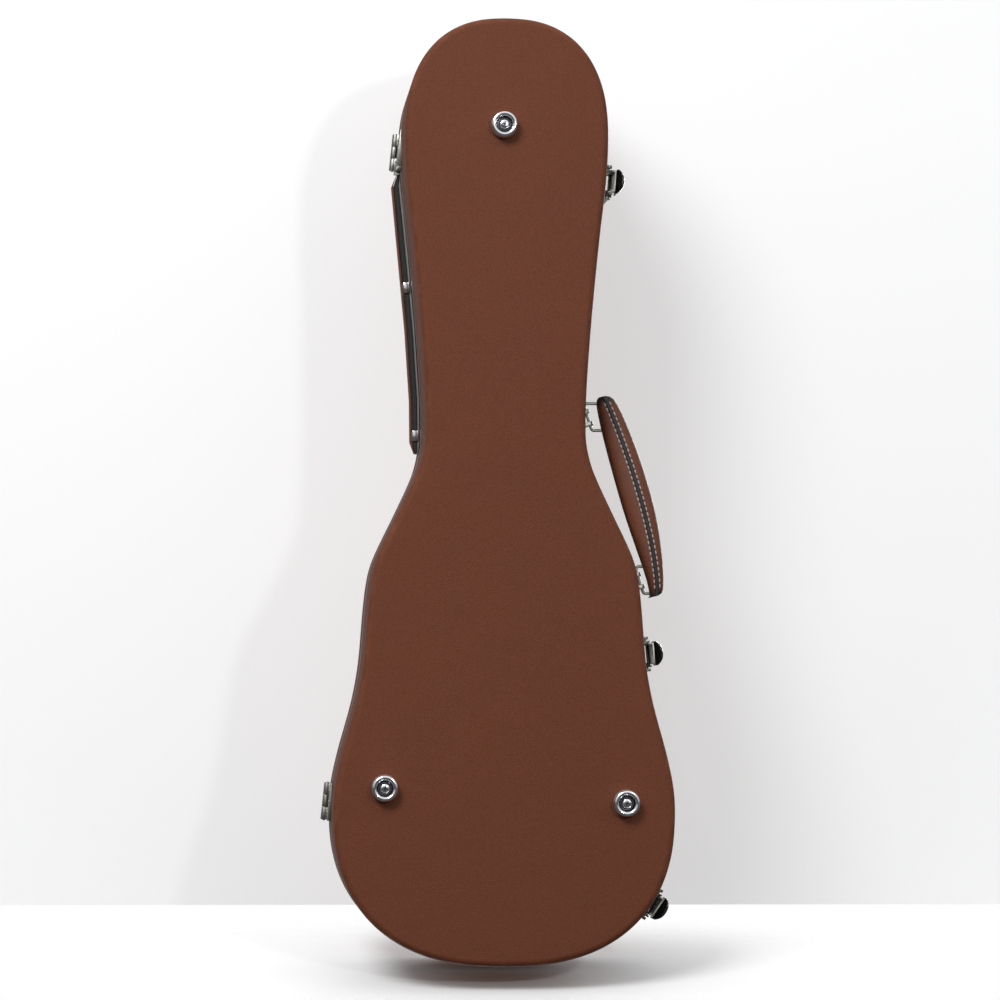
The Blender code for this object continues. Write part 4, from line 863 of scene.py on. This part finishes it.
class CASE_OT_handle(bpy.types.Operator):
    """Make the leather grip with its welt and two rows of stitches"""

    bl_idname = "case.handle"
    bl_label = "Handle"

    def execute(self, context):
        h = settings().handle
        place = grip_place()

        # the grip is drawn out of a disc, ring by ring
        stations = [0.0, 0.008, 0.025] + [0.05 + 0.90 * k / 24 for k in range(25)] + [0.975, 0.992, 1.0]
        bpy.ops.object.select_all(action="DESELECT")
        bpy.ops.mesh.primitive_circle_add(vertices=32, radius=0.5, fill_type="NGON", rotation=(math.pi / 2, 0, 0))
        grip = bpy.context.active_object
        settle(grip)
        edit(grip)
        bpy.ops.mesh.select_all(action="SELECT")
        held = Vector((0, 0, 0))
        size = Vector((1.0, 1.0))
        for number, at in enumerate(stations):
            width, thickness = grip_size(at)
            ease = 0.86 if number == 0 else (0.94 if number == 1 else (0.72 if at == 1.0 else (0.88 if at > 0.99 else 1.0)))
            middle = Vector((grip_bow(at), (0.5 - at) * h.span, 0))
            if number:
                bpy.ops.mesh.extrude_region_move(TRANSFORM_OT_translate={"value": tuple(middle - held)})
            else:
                bpy.ops.transform.translate(value=tuple(middle - held))
            wanted = Vector((width * ease, thickness * ease))
            bpy.ops.transform.resize(
                value=(wanted.x / size.x, 1.0, wanted.y / size.y), center_override=tuple(middle),
                orient_type="GLOBAL",
            )
            held, size = middle, wanted
        done()
        inked = grip.data.attributes.new("inked", "FLOAT", "POINT")
        levels = []
        for vertex in grip.data.vertices:
            at = 0.5 - vertex.co.y / h.span
            width, thickness = grip_size(at)
            # squarer than an ellipse, as leather over a flat core
            c = (vertex.co.x - grip_bow(at)) / (width / 2)
            s = vertex.co.z / (thickness / 2)
            around = math.atan2(s, c)
            bulk = (abs(math.cos(around)) ** 2.5 + abs(math.sin(around)) ** 2.5) ** (-1 / 2.5)
            reach = math.hypot(c, s)
            if reach > 1e-6:
                vertex.co.x = grip_bow(at) + math.cos(around) * bulk * reach * width / 2
                vertex.co.z = math.sin(around) * bulk * reach * thickness / 2
            ends = max(0.0, 1 - at / 0.035, 1 - (1 - at) / 0.05)
            edge = max(0.0, (-c - 0.86) / 0.10)
            levels.append(min(1.0, max(ends * 1.5, edge)))
        inked.data.foreach_set("value", levels)
        grip.data.transform(place)
        tidy_faces(grip, 60)
        hand_over(grip, "grip", "handle", "handle_leather", None, ["handle_grip"])

        # the welt is a rib laid along the seam
        bpy.ops.object.select_all(action="DESELECT")
        bpy.ops.mesh.primitive_circle_add(vertices=12, radius=h.welt_width / 2, fill_type="NGON", rotation=(math.pi / 2, 0, 0))
        welt = bpy.context.active_object
        settle(welt)
        edit(welt)
        bpy.ops.mesh.select_all(action="SELECT")
        bpy.ops.transform.resize(value=(1.0, 1.0, 0.62))
        held = Vector((0, 0, 0))
        count = 40
        for number in range(count + 1):
            at = 0.004 + 0.992 * number / count
            middle = seam_point(at) + Vector((0, 0, 0.0001))
            if number:
                bpy.ops.mesh.extrude_region_move(TRANSFORM_OT_translate={"value": tuple(middle - held)})
            else:
                bpy.ops.transform.translate(value=tuple(middle - held))
            held = middle
        done()
        welt.data.transform(place)
        tidy_faces(welt, 60)
        hand_over(welt, "grip_welt", "handle", "welt_leather", None, ["handle_welt"])

        # one stitch, copied along both sides of the welt
        bpy.ops.object.select_all(action="DESELECT")
        bpy.ops.mesh.primitive_uv_sphere_add(segments=8, ring_count=6, radius=0.5, rotation=(math.pi / 2, 0, 0))
        stitch = bpy.context.active_object
        settle(stitch)
        stitch.scale = (h.thread * 1.25, h.stitch_length, h.thread)
        settle(stitch)
        stitches = []
        count = int(h.span * 0.95 / h.stitch_pitch)
        for side in (-1, 1):
            for number in range(count):
                at = 0.03 + 0.94 * (number + 0.5) / count
                off = side * h.stitch_side
                here, there = seam_point(at - 0.005, off), seam_point(at + 0.005, off)
                heading = (here - there).normalized()
                middle = seam_point(at, off)
                turn = heading.to_track_quat("Y", "Z").to_matrix().to_4x4()
                copy = stitch.copy()
                copy.data = stitch.data.copy()
                bpy.context.scene.collection.objects.link(copy)
                copy.data.transform(place @ Matrix.Translation(middle) @ turn)
                stitches.append(copy)
        bpy.data.objects.remove(stitch)
        rows = joined(stitches)
        alone(rows)
        bpy.ops.object.shade_smooth()
        hand_over(rows, "grip_stitches", "handle", "welt_leather", "thread")
        return {"FINISHED"}


# Fittings
def spun(section, steps, closed=True):
    """A section of (radius, height) turned about the upright axis."""
    bpy.ops.object.select_all(action="DESELECT")
    bpy.ops.mesh.primitive_circle_add(vertices=len(section), fill_type="NOTHING")
    piece = bpy.context.active_object
    for vertex, (radius, height) in zip(piece.data.vertices, section):
        vertex.co = (radius, 0.0, height)
    if not closed:
        edit(piece, "EDGE")
        ends = {0, len(section) - 1}
        choose(piece, lambda e: {v.index for v in e.verts} == ends, "edges")
        bpy.ops.mesh.delete(type="EDGE")
        done()
    edit(piece, "VERT")
    bpy.ops.mesh.select_all(action="SELECT")
    bpy.ops.mesh.spin(steps=steps, angle=math.tau, center=(0, 0, 0), axis=(0, 0, 1))
    done()
    return piece


def cut(piece, tool):
    """Takes one solid out of another."""
    modify(piece, "BOOLEAN", operation="DIFFERENCE", solver="EXACT", object=tool)
    bpy.data.objects.remove(tool)


def paint_levels(piece, name, level):
    """Paints an amount on each vertex."""
    painted = piece.data.attributes.new(name, "FLOAT", "POINT")
    painted.data.foreach_set("value", [min(1.0, max(0.0, level(v.co))) for v in piece.data.vertices])


class CASE_OT_feet(bpy.types.Operator):
    """Make the three plated feet with their domed cross-head screws"""

    bl_idname = "case.feet"
    bl_label = "Feet"

    def execute(self, context):
        s = settings().fittings
        for name in FEET:
            low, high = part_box(f"foot_{name}")
            screw_low, screw_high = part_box(f"foot_{name}_screw")
            middle = (low + high) / 2
            place = Matrix.Translation((middle.x, middle.y, 0))
            outer, bore = (high.x - low.x) / 2, s.screw_bore
            inner = outer * s.foot_recess
            rim = (outer + inner) / 2
            deep = s.foot_depth
            section = (
                [(bore, high.z), (outer - 0.0004, high.z)]
                + quarter(outer - 0.0006, high.z - 0.0009, 0.0006, 90, 0, 3)
                + [(outer, high.z * 0.60), (outer - 0.0004, high.z * 0.56), (outer - 0.0004, high.z * 0.50)]
                + [(outer - 0.0001, high.z * 0.46)]
                + [
                    (rim + (outer - 0.0001 - rim) * math.cos(a), s.foot_crown * (1 - math.sin(a)))
                    for a in (math.radians(11.25 * k) for k in range(16))
                ]
                + [(inner, s.foot_crown), (inner - 0.0003, deep - 0.0008)]
                + quarter(inner - 0.0011, deep - 0.0008, 0.0008, 0, 90, 3)
                + [(bore, deep)]
            )
            foot = spun(section, 64)
            tidy_faces(foot, 32)
            # painted shade: the inside of the foot's recess is painted dark
            paint_levels(foot, "shaded", lambda co: (
                0.9 * (deep * 0.16 < co.z < deep + 0.0005) * (math.hypot(co.x, co.y) < inner + 0.00005)
            ))
            foot.data.transform(place)
            hand_over(foot, f"foot_ring_{name}", "case_body", "chrome", None, [f"foot_{name}"])

            head = s.screw_head / 2
            base = deep - 0.0003
            crown = max(screw_low.z, 0.0009)
            section = [(0.0, crown)] + [
                (head * math.sin(a) ** 0.8, crown + (base - 0.0006 - crown) * (1 - math.cos(a)) ** 1.5)
                for a in (math.radians(12 * k) for k in range(1, 8))
            ] + [(head, base - 0.0003), (head, base), (bore - 0.0003, base), (bore - 0.0003, screw_high.z), (0.0, screw_high.z)]
            screw = spun(section, 32, False)
            tidy_faces(screw, 35)
            for turn in (0.35, 0.35 + math.pi / 2):
                bpy.ops.mesh.primitive_cube_add(size=1.0)
                slot = bpy.context.active_object
                slot.data.transform(
                    Matrix.Translation((0, 0, crown)) @ Matrix.Rotation(turn, 4, "Z")
                    @ Matrix.Diagonal((s.screw_slot, s.screw_slot * 5.2, 0.0024, 1))
                )
                edit(slot)
                choose(slot, lambda face: face.normal.z > 0.5)
                bpy.ops.transform.resize(value=(0.45, 0.45, 1.0), center_override=(0, 0, crown))
                done()
                cut(screw, slot)
            tidy_faces(screw, 35)
            # painted shade: the bottom of the screw's cross is painted dark
            paint_levels(screw, "shaded", lambda co: (
                1.2 * (co.z > crown + 0.0009) * (math.hypot(co.x, co.y) < s.screw_slot * 2.4)
            ))
            screw.data.transform(place)
            hand_over(screw, f"foot_cap_{name}", "case_body", "chrome", None, [f"foot_{name}_screw"])
        return {"FINISHED"}


def front_of(node):
    """A fitting's flat front: its place (x outwards, y along, z up), width and height."""
    planes = {}
    for polygon in NODES[node].data.polygons:
        n, c = polygon.normal, polygon.center
        if abs(n.z) < 0.05 and n.x * c.x + n.y * c.y > 0:
            key = (round(n.x, 2), round(n.y, 2), round(n.dot(c), 4))
            planes.setdefault(key, []).append(polygon)
    front = max(planes.values(), key=lambda plane: sum(p.area for p in plane))
    normal = Vector((front[0].normal.x, front[0].normal.y, 0)).normalized()
    across = Vector((0, 0, 1)).cross(normal)
    corners = [NODES[node].data.vertices[i].co for p in front for i in p.vertices]
    along, rise = [c.dot(across) for c in corners], [c.z for c in corners]
    middle = (
        normal * corners[0].dot(normal) + across * (min(along) + max(along)) / 2
        + Vector((0, 0, (min(rise) + max(rise)) / 2))
    )
    turn = Matrix((normal, across, Vector((0, 0, 1)))).transposed().to_4x4()
    return Matrix.Translation(middle) @ turn, max(along) - min(along), max(rise) - min(rise)


def rivets_on(node, spots, radius):
    """Domed rivet heads on a fitting's front; spots are shares of its width and height."""
    place, width, height = front_of(node)
    bpy.ops.object.select_all(action="DESELECT")
    bpy.ops.mesh.primitive_uv_sphere_add(segments=20, ring_count=12, radius=1.0)
    head = bpy.context.active_object
    head.data.transform(Matrix.Diagonal((radius * 0.55, radius, radius, 1)) @ Matrix.Rotation(math.pi / 2, 4, "Y"))
    edit(head)
    bpy.ops.mesh.select_all(action="SELECT")
    bpy.ops.mesh.bisect(plane_co=(-0.00005, 0, 0), plane_no=(1, 0, 0), use_fill=True, clear_inner=True)
    done()
    heads = []
    for across, up in spots:
        copy = head.copy()
        copy.data = head.data.copy()
        bpy.context.scene.collection.objects.link(copy)
        copy.data.transform(place @ Matrix.Translation((0, across * width, up * height)))
        heads.append(copy)
    bpy.data.objects.remove(head)
    made = joined(heads)
    alone(made)
    bpy.ops.object.shade_smooth_by_angle(angle=math.radians(50))
    return hand_over(made, f"{node}_rivets", BODY_OF[node], SLOT_OF[node])


class CASE_OT_fittings(bpy.types.Operator):
    """Ease the edges of the latches, hinges, brackets and guard strips, rivet the keepers and hinge plates, and finish
    the other solids
    """

    bl_idname = "case.fittings"
    bl_label = "Fittings"

    def execute(self, context):
        s = settings().fittings
        for latch in LATCHES:
            for part in ("base", "lever", "hasp", "keeper"):
                refined(f"latch_{latch}_{part}", s.sheet_edge, f"{latch}_latch_{part}")
            cover = copy_of_node(f"latch_{latch}_lever_cover", False)
            modify(cover, "SUBSURF", levels=2, render_levels=2)
            alone(cover)
            bpy.ops.object.shade_smooth()
            node = f"latch_{latch}_lever_cover"
            hand_over(cover, f"{latch}_latch_cap", BODY_OF[node], "black_lacquer", None, [node])
            rivets_on(f"latch_{latch}_keeper", ((-0.36, 0.32), (0.36, 0.32)), s.rivet / 2)
        for hinge in ("lower", "head"):
            refined(f"hinge_{hinge}_body_leaf", s.sheet_edge, f"{hinge}_hinge_body_plate")
            refined(f"hinge_{hinge}_lid_leaf", s.sheet_edge, f"{hinge}_hinge_lid_plate")
            rivets_on(f"hinge_{hinge}_body_leaf", ((-0.30, 0.18), (0.30, 0.18), (0.0, -0.30)), s.rivet / 2)
            rivets_on(f"hinge_{hinge}_lid_leaf", ((-0.30, 0.10), (0.30, 0.10)), s.rivet / 2)
        for end in ("lower", "upper"):
            refined(f"handle_bracket_{end}", s.sheet_edge, f"{end}_handle_bracket")
            refined(f"edge_guard_clip_{end}", s.sheet_edge * 0.6, f"{end}_guard_clip")
        refined("edge_guard_facing", 0.0003, "guard_facing", 2, "facing_leather")
        for node in sorted(NODES):
            holder = NODES[node]
            if holder.hide_render:
                continue
            if not holder.material_slots:
                holder.data.materials.append(None)
            for place in holder.material_slots:
                place.link = "OBJECT"
                place.material = finish(SLOT_OF[node])
        return {"FINISHED"}


# Stage
def stage_finish(name, tone, glow, middle, near, far, squeeze=1.0):
    """Pale board, seen only by the camera and only from its front, that melts into white away from its middle."""
    f = Finish(name, tone, 0.9)
    tree = f.tree
    diffuse = f.node("ShaderNodeBsdfDiffuse", None, {"Color": (*tone, 1.0)})
    lit = f.node("ShaderNodeEmission", None, {"Color": (1.0, 1.0, 1.0, 1.0), "Strength": glow})
    both = f.node("ShaderNodeAddShader", None, {0: diffuse.outputs[0], 1: lit.outputs[0]})
    clear = f.node("ShaderNodeBsdfTransparent")
    seen = Amount(f, f.node("ShaderNodeLightPath").outputs["Is Camera Ray"])
    behind = Amount(f, f.node("ShaderNodeNewGeometry").outputs["Backfacing"])
    spot = f.node("ShaderNodeTexCoord").outputs["Object"]
    squeezed = f.node("ShaderNodeVectorMath", {"operation": "MULTIPLY"}, {0: spot, 1: (1.0, 1.0, squeeze)})
    middle = (middle[0], middle[1], middle[2] * squeeze)
    away = f.node("ShaderNodeVectorMath", {"operation": "DISTANCE"}, {0: squeezed.outputs[0], 1: middle})
    shown = seen * (1 - behind) * (1 - f.step(Amount(f, away.outputs["Value"]), near, far))
    mixed = f.node("ShaderNodeMixShader", None, {0: shown, 1: clear.outputs[0], 2: both.outputs[0]})
    tree.links.new(mixed.outputs[0], tree.nodes["Material Output"].inputs["Surface"])
    tree.nodes.remove(f.shader)
    return f.material


def board(name, centre, across, up, width, height, surface):
    """A flat board whose front faces across x up."""
    bpy.ops.object.select_all(action="DESELECT")
    bpy.ops.mesh.primitive_plane_add(size=1.0)
    made = bpy.context.active_object
    front = across.cross(up).normalized()
    turn = Matrix((across.normalized(), up.normalized(), front)).transposed().to_4x4()
    made.data.transform(Matrix.Translation(centre) @ turn @ Matrix.Diagonal((width, height, 1.0, 1.0)))
    made.name = name
    made.data.materials.append(surface)
    return made


def lamp(name, place, aim, size, energy, tint=(1.0, 1.0, 1.0)):
    bpy.ops.object.light_add(type="AREA", location=place)
    made = bpy.context.active_object
    made.name = name
    made.data.shape = "DISK"
    made.data.size = size
    made.data.energy = energy
    made.data.color = tint
    made.rotation_mode = "QUATERNION"
    made.rotation_quaternion = (Vector(aim) - Vector(place)).to_track_quat("-Z", "Y")
    made.visible_camera = False
    return made


class CASE_OT_stage(bpy.types.Operator):
    """Set up the floor, the wall, the lights and the camera"""

    bl_idname = "case.stage"
    bl_label = "Stage"

    def execute(self, context):
        s = settings().stage
        low, high = CAD_BOX
        scene = bpy.context.scene

        # the case leans back on the tail edge of its lid
        rise = Vector((0, math.cos(s.lean), -math.sin(s.lean)))
        level = Vector((0, math.sin(s.lean), math.cos(s.lean)))
        rest = Vector((0, low.y, high.z))
        foot = rest + level * s.wall_gap
        side = Vector((1, 0, 0))
        wall_board = stage_finish("wall_paint", (0.64, 0.645, 0.65), 0.42, foot + rise * 0.36, 0.36, 0.80)
        floor_board = stage_finish("floor_paint", (0.84, 0.845, 0.85), 0.0, rest - level * 0.04, 0.14, 0.38, 2.2)
        table = stage_finish("table_paint", (0.78, 0.78, 0.78), 0.10, (0, 0, 0), 0.45, 1.20)
        board("back_wall", foot + rise * 2.0, -side, rise, 8.0, 4.0, wall_board)
        board("leaning_floor", foot, side, -level, 8.0, 8.0, floor_board)
        board("table_top", Vector((0, 0, -0.0002)), side, Vector((0, 1, 0)), 12.0, 12.0, table)

        world = scene.world or bpy.data.worlds.new("surroundings")
        scene.world = world
        world.use_nodes = True
        world.node_tree.nodes.clear()
        w = Shading(world.node_tree)
        heading = w.node("ShaderNodeTexCoord").outputs["Generated"]
        upper = w.step(w.part(heading, 1), -0.10, 0.80)
        overhead = w.step(w.part(heading, 2), 0.05, 0.60) * (1 - w.step(w.part(heading, 2), 0.86, 0.98) * 0.85)
        window = w.step(w.part(heading, 1), 0.02, 0.10) * w.step(w.part(heading, 2) * -1, 0.30, 0.50)
        level = (upper * 0.55 + overhead * 0.45 + window * 0.35 + 0.09) * s.sky
        sky = w.node("ShaderNodeBackground", None, {"Color": (1.0, 1.0, 1.0, 1.0), "Strength": level})
        white = w.node("ShaderNodeBackground", None, {"Color": (1.0, 1.0, 1.0, 1.0), "Strength": 1.0})
        seen = w.node("ShaderNodeLightPath").outputs["Is Camera Ray"]
        pick = w.node("ShaderNodeMixShader", None, {0: seen, 1: sky.outputs[0], 2: white.outputs[0]})
        out = w.node("ShaderNodeOutputWorld")
        w.feed(out.inputs["Surface"], pick.outputs[0])

        lamp("right_lamp", (-0.90, 0.58, -2.5), (0, 0, 0.06), 0.16, 12.0 * s.key)
        lamp("left_lamp", (1.00, 1.45, -1.75), (0, 0.1, 0.06), 1.0, 42.0 * s.fill)
        lamp("top_lamp", (-1.0, 0.5, 2.3), (0, 0, 0.06), 1.0, 30.0 * s.key)
        lamp("far_lamp", (0.5, -1.6, 1.9), (0, 0, 0.06), 1.4, 18.0 * s.fill)

        bpy.ops.object.camera_add()
        camera = bpy.context.active_object
        camera.name = "photo_camera"
        back = Vector((
            math.sin(s.yaw) * math.cos(s.pitch), -math.sin(s.pitch), -math.cos(s.yaw) * math.cos(s.pitch)
        ))
        target = Vector((s.target_x, s.target_y, 0))
        right = (-back).cross(Vector((0, 1, 0))).normalized()
        up = right.cross(-back)
        right, up = (
            right * math.cos(s.roll) + up * math.sin(s.roll), up * math.cos(s.roll) - right * math.sin(s.roll)
        )
        camera.matrix_world = Matrix.Translation(target + back * s.distance) @ Matrix((right, up, back)).transposed().to_4x4()
        camera.data.sensor_width = 36.0
        camera.data.lens = s.focal
        camera.data.clip_start, camera.data.clip_end = 0.05, 60.0
        scene.camera = camera
        scene.view_settings.view_transform = "Standard"
        return {"FINISHED"}


# Panel and registration
OPERATORS = (
    CASE_OT_shells, CASE_OT_padding, CASE_OT_accessory_box, CASE_OT_handle, CASE_OT_feet, CASE_OT_fittings,
    CASE_OT_stage,
)
GROUPS = (CaseColours, CaseShell, CasePadding, CaseHandle, CaseFittings, CaseStage)


class CaseSettings(bpy.types.PropertyGroup):
    colours: bpy.props.PointerProperty(type=CaseColours)
    shell: bpy.props.PointerProperty(type=CaseShell)
    padding: bpy.props.PointerProperty(type=CasePadding)
    handle: bpy.props.PointerProperty(type=CaseHandle)
    fittings: bpy.props.PointerProperty(type=CaseFittings)
    stage: bpy.props.PointerProperty(type=CaseStage)


class CASE_PT_panel(bpy.types.Panel):
    bl_idname = "CASE_PT_panel"
    bl_label = "Ukulele Case"
    bl_space_type = "VIEW_3D"
    bl_region_type = "UI"
    bl_category = "Case"

    def draw(self, context):
        for operator in OPERATORS:
            self.layout.operator(operator.bl_idname)
        for group in ("colours", "shell", "padding", "handle", "fittings", "stage"):
            box = self.layout.box()
            box.label(text=group.title())
            for key in getattr(context.scene.ukulele_case, group).bl_rna.properties.keys():
                if key not in ("rna_type", "name"):
                    box.prop(getattr(context.scene.ukulele_case, group), key)


def register():
    for made in (*GROUPS, CaseSettings, *OPERATORS, CASE_PT_panel):
        bpy.utils.register_class(made)
    bpy.types.Scene.ukulele_case = bpy.props.PointerProperty(type=CaseSettings)


def unregister():
    del bpy.types.Scene.ukulele_case
    for made in reversed((*GROUPS, CaseSettings, *OPERATORS, CASE_PT_panel)):
        bpy.utils.unregister_class(made)


def main():
    register()
    bpy.ops.case.shells()
    bpy.ops.case.padding()
    bpy.ops.case.accessory_box()
    bpy.ops.case.handle()
    bpy.ops.case.feet()
    bpy.ops.case.fittings()
    bpy.ops.case.stage()


if __name__ == "__main__":
    main()
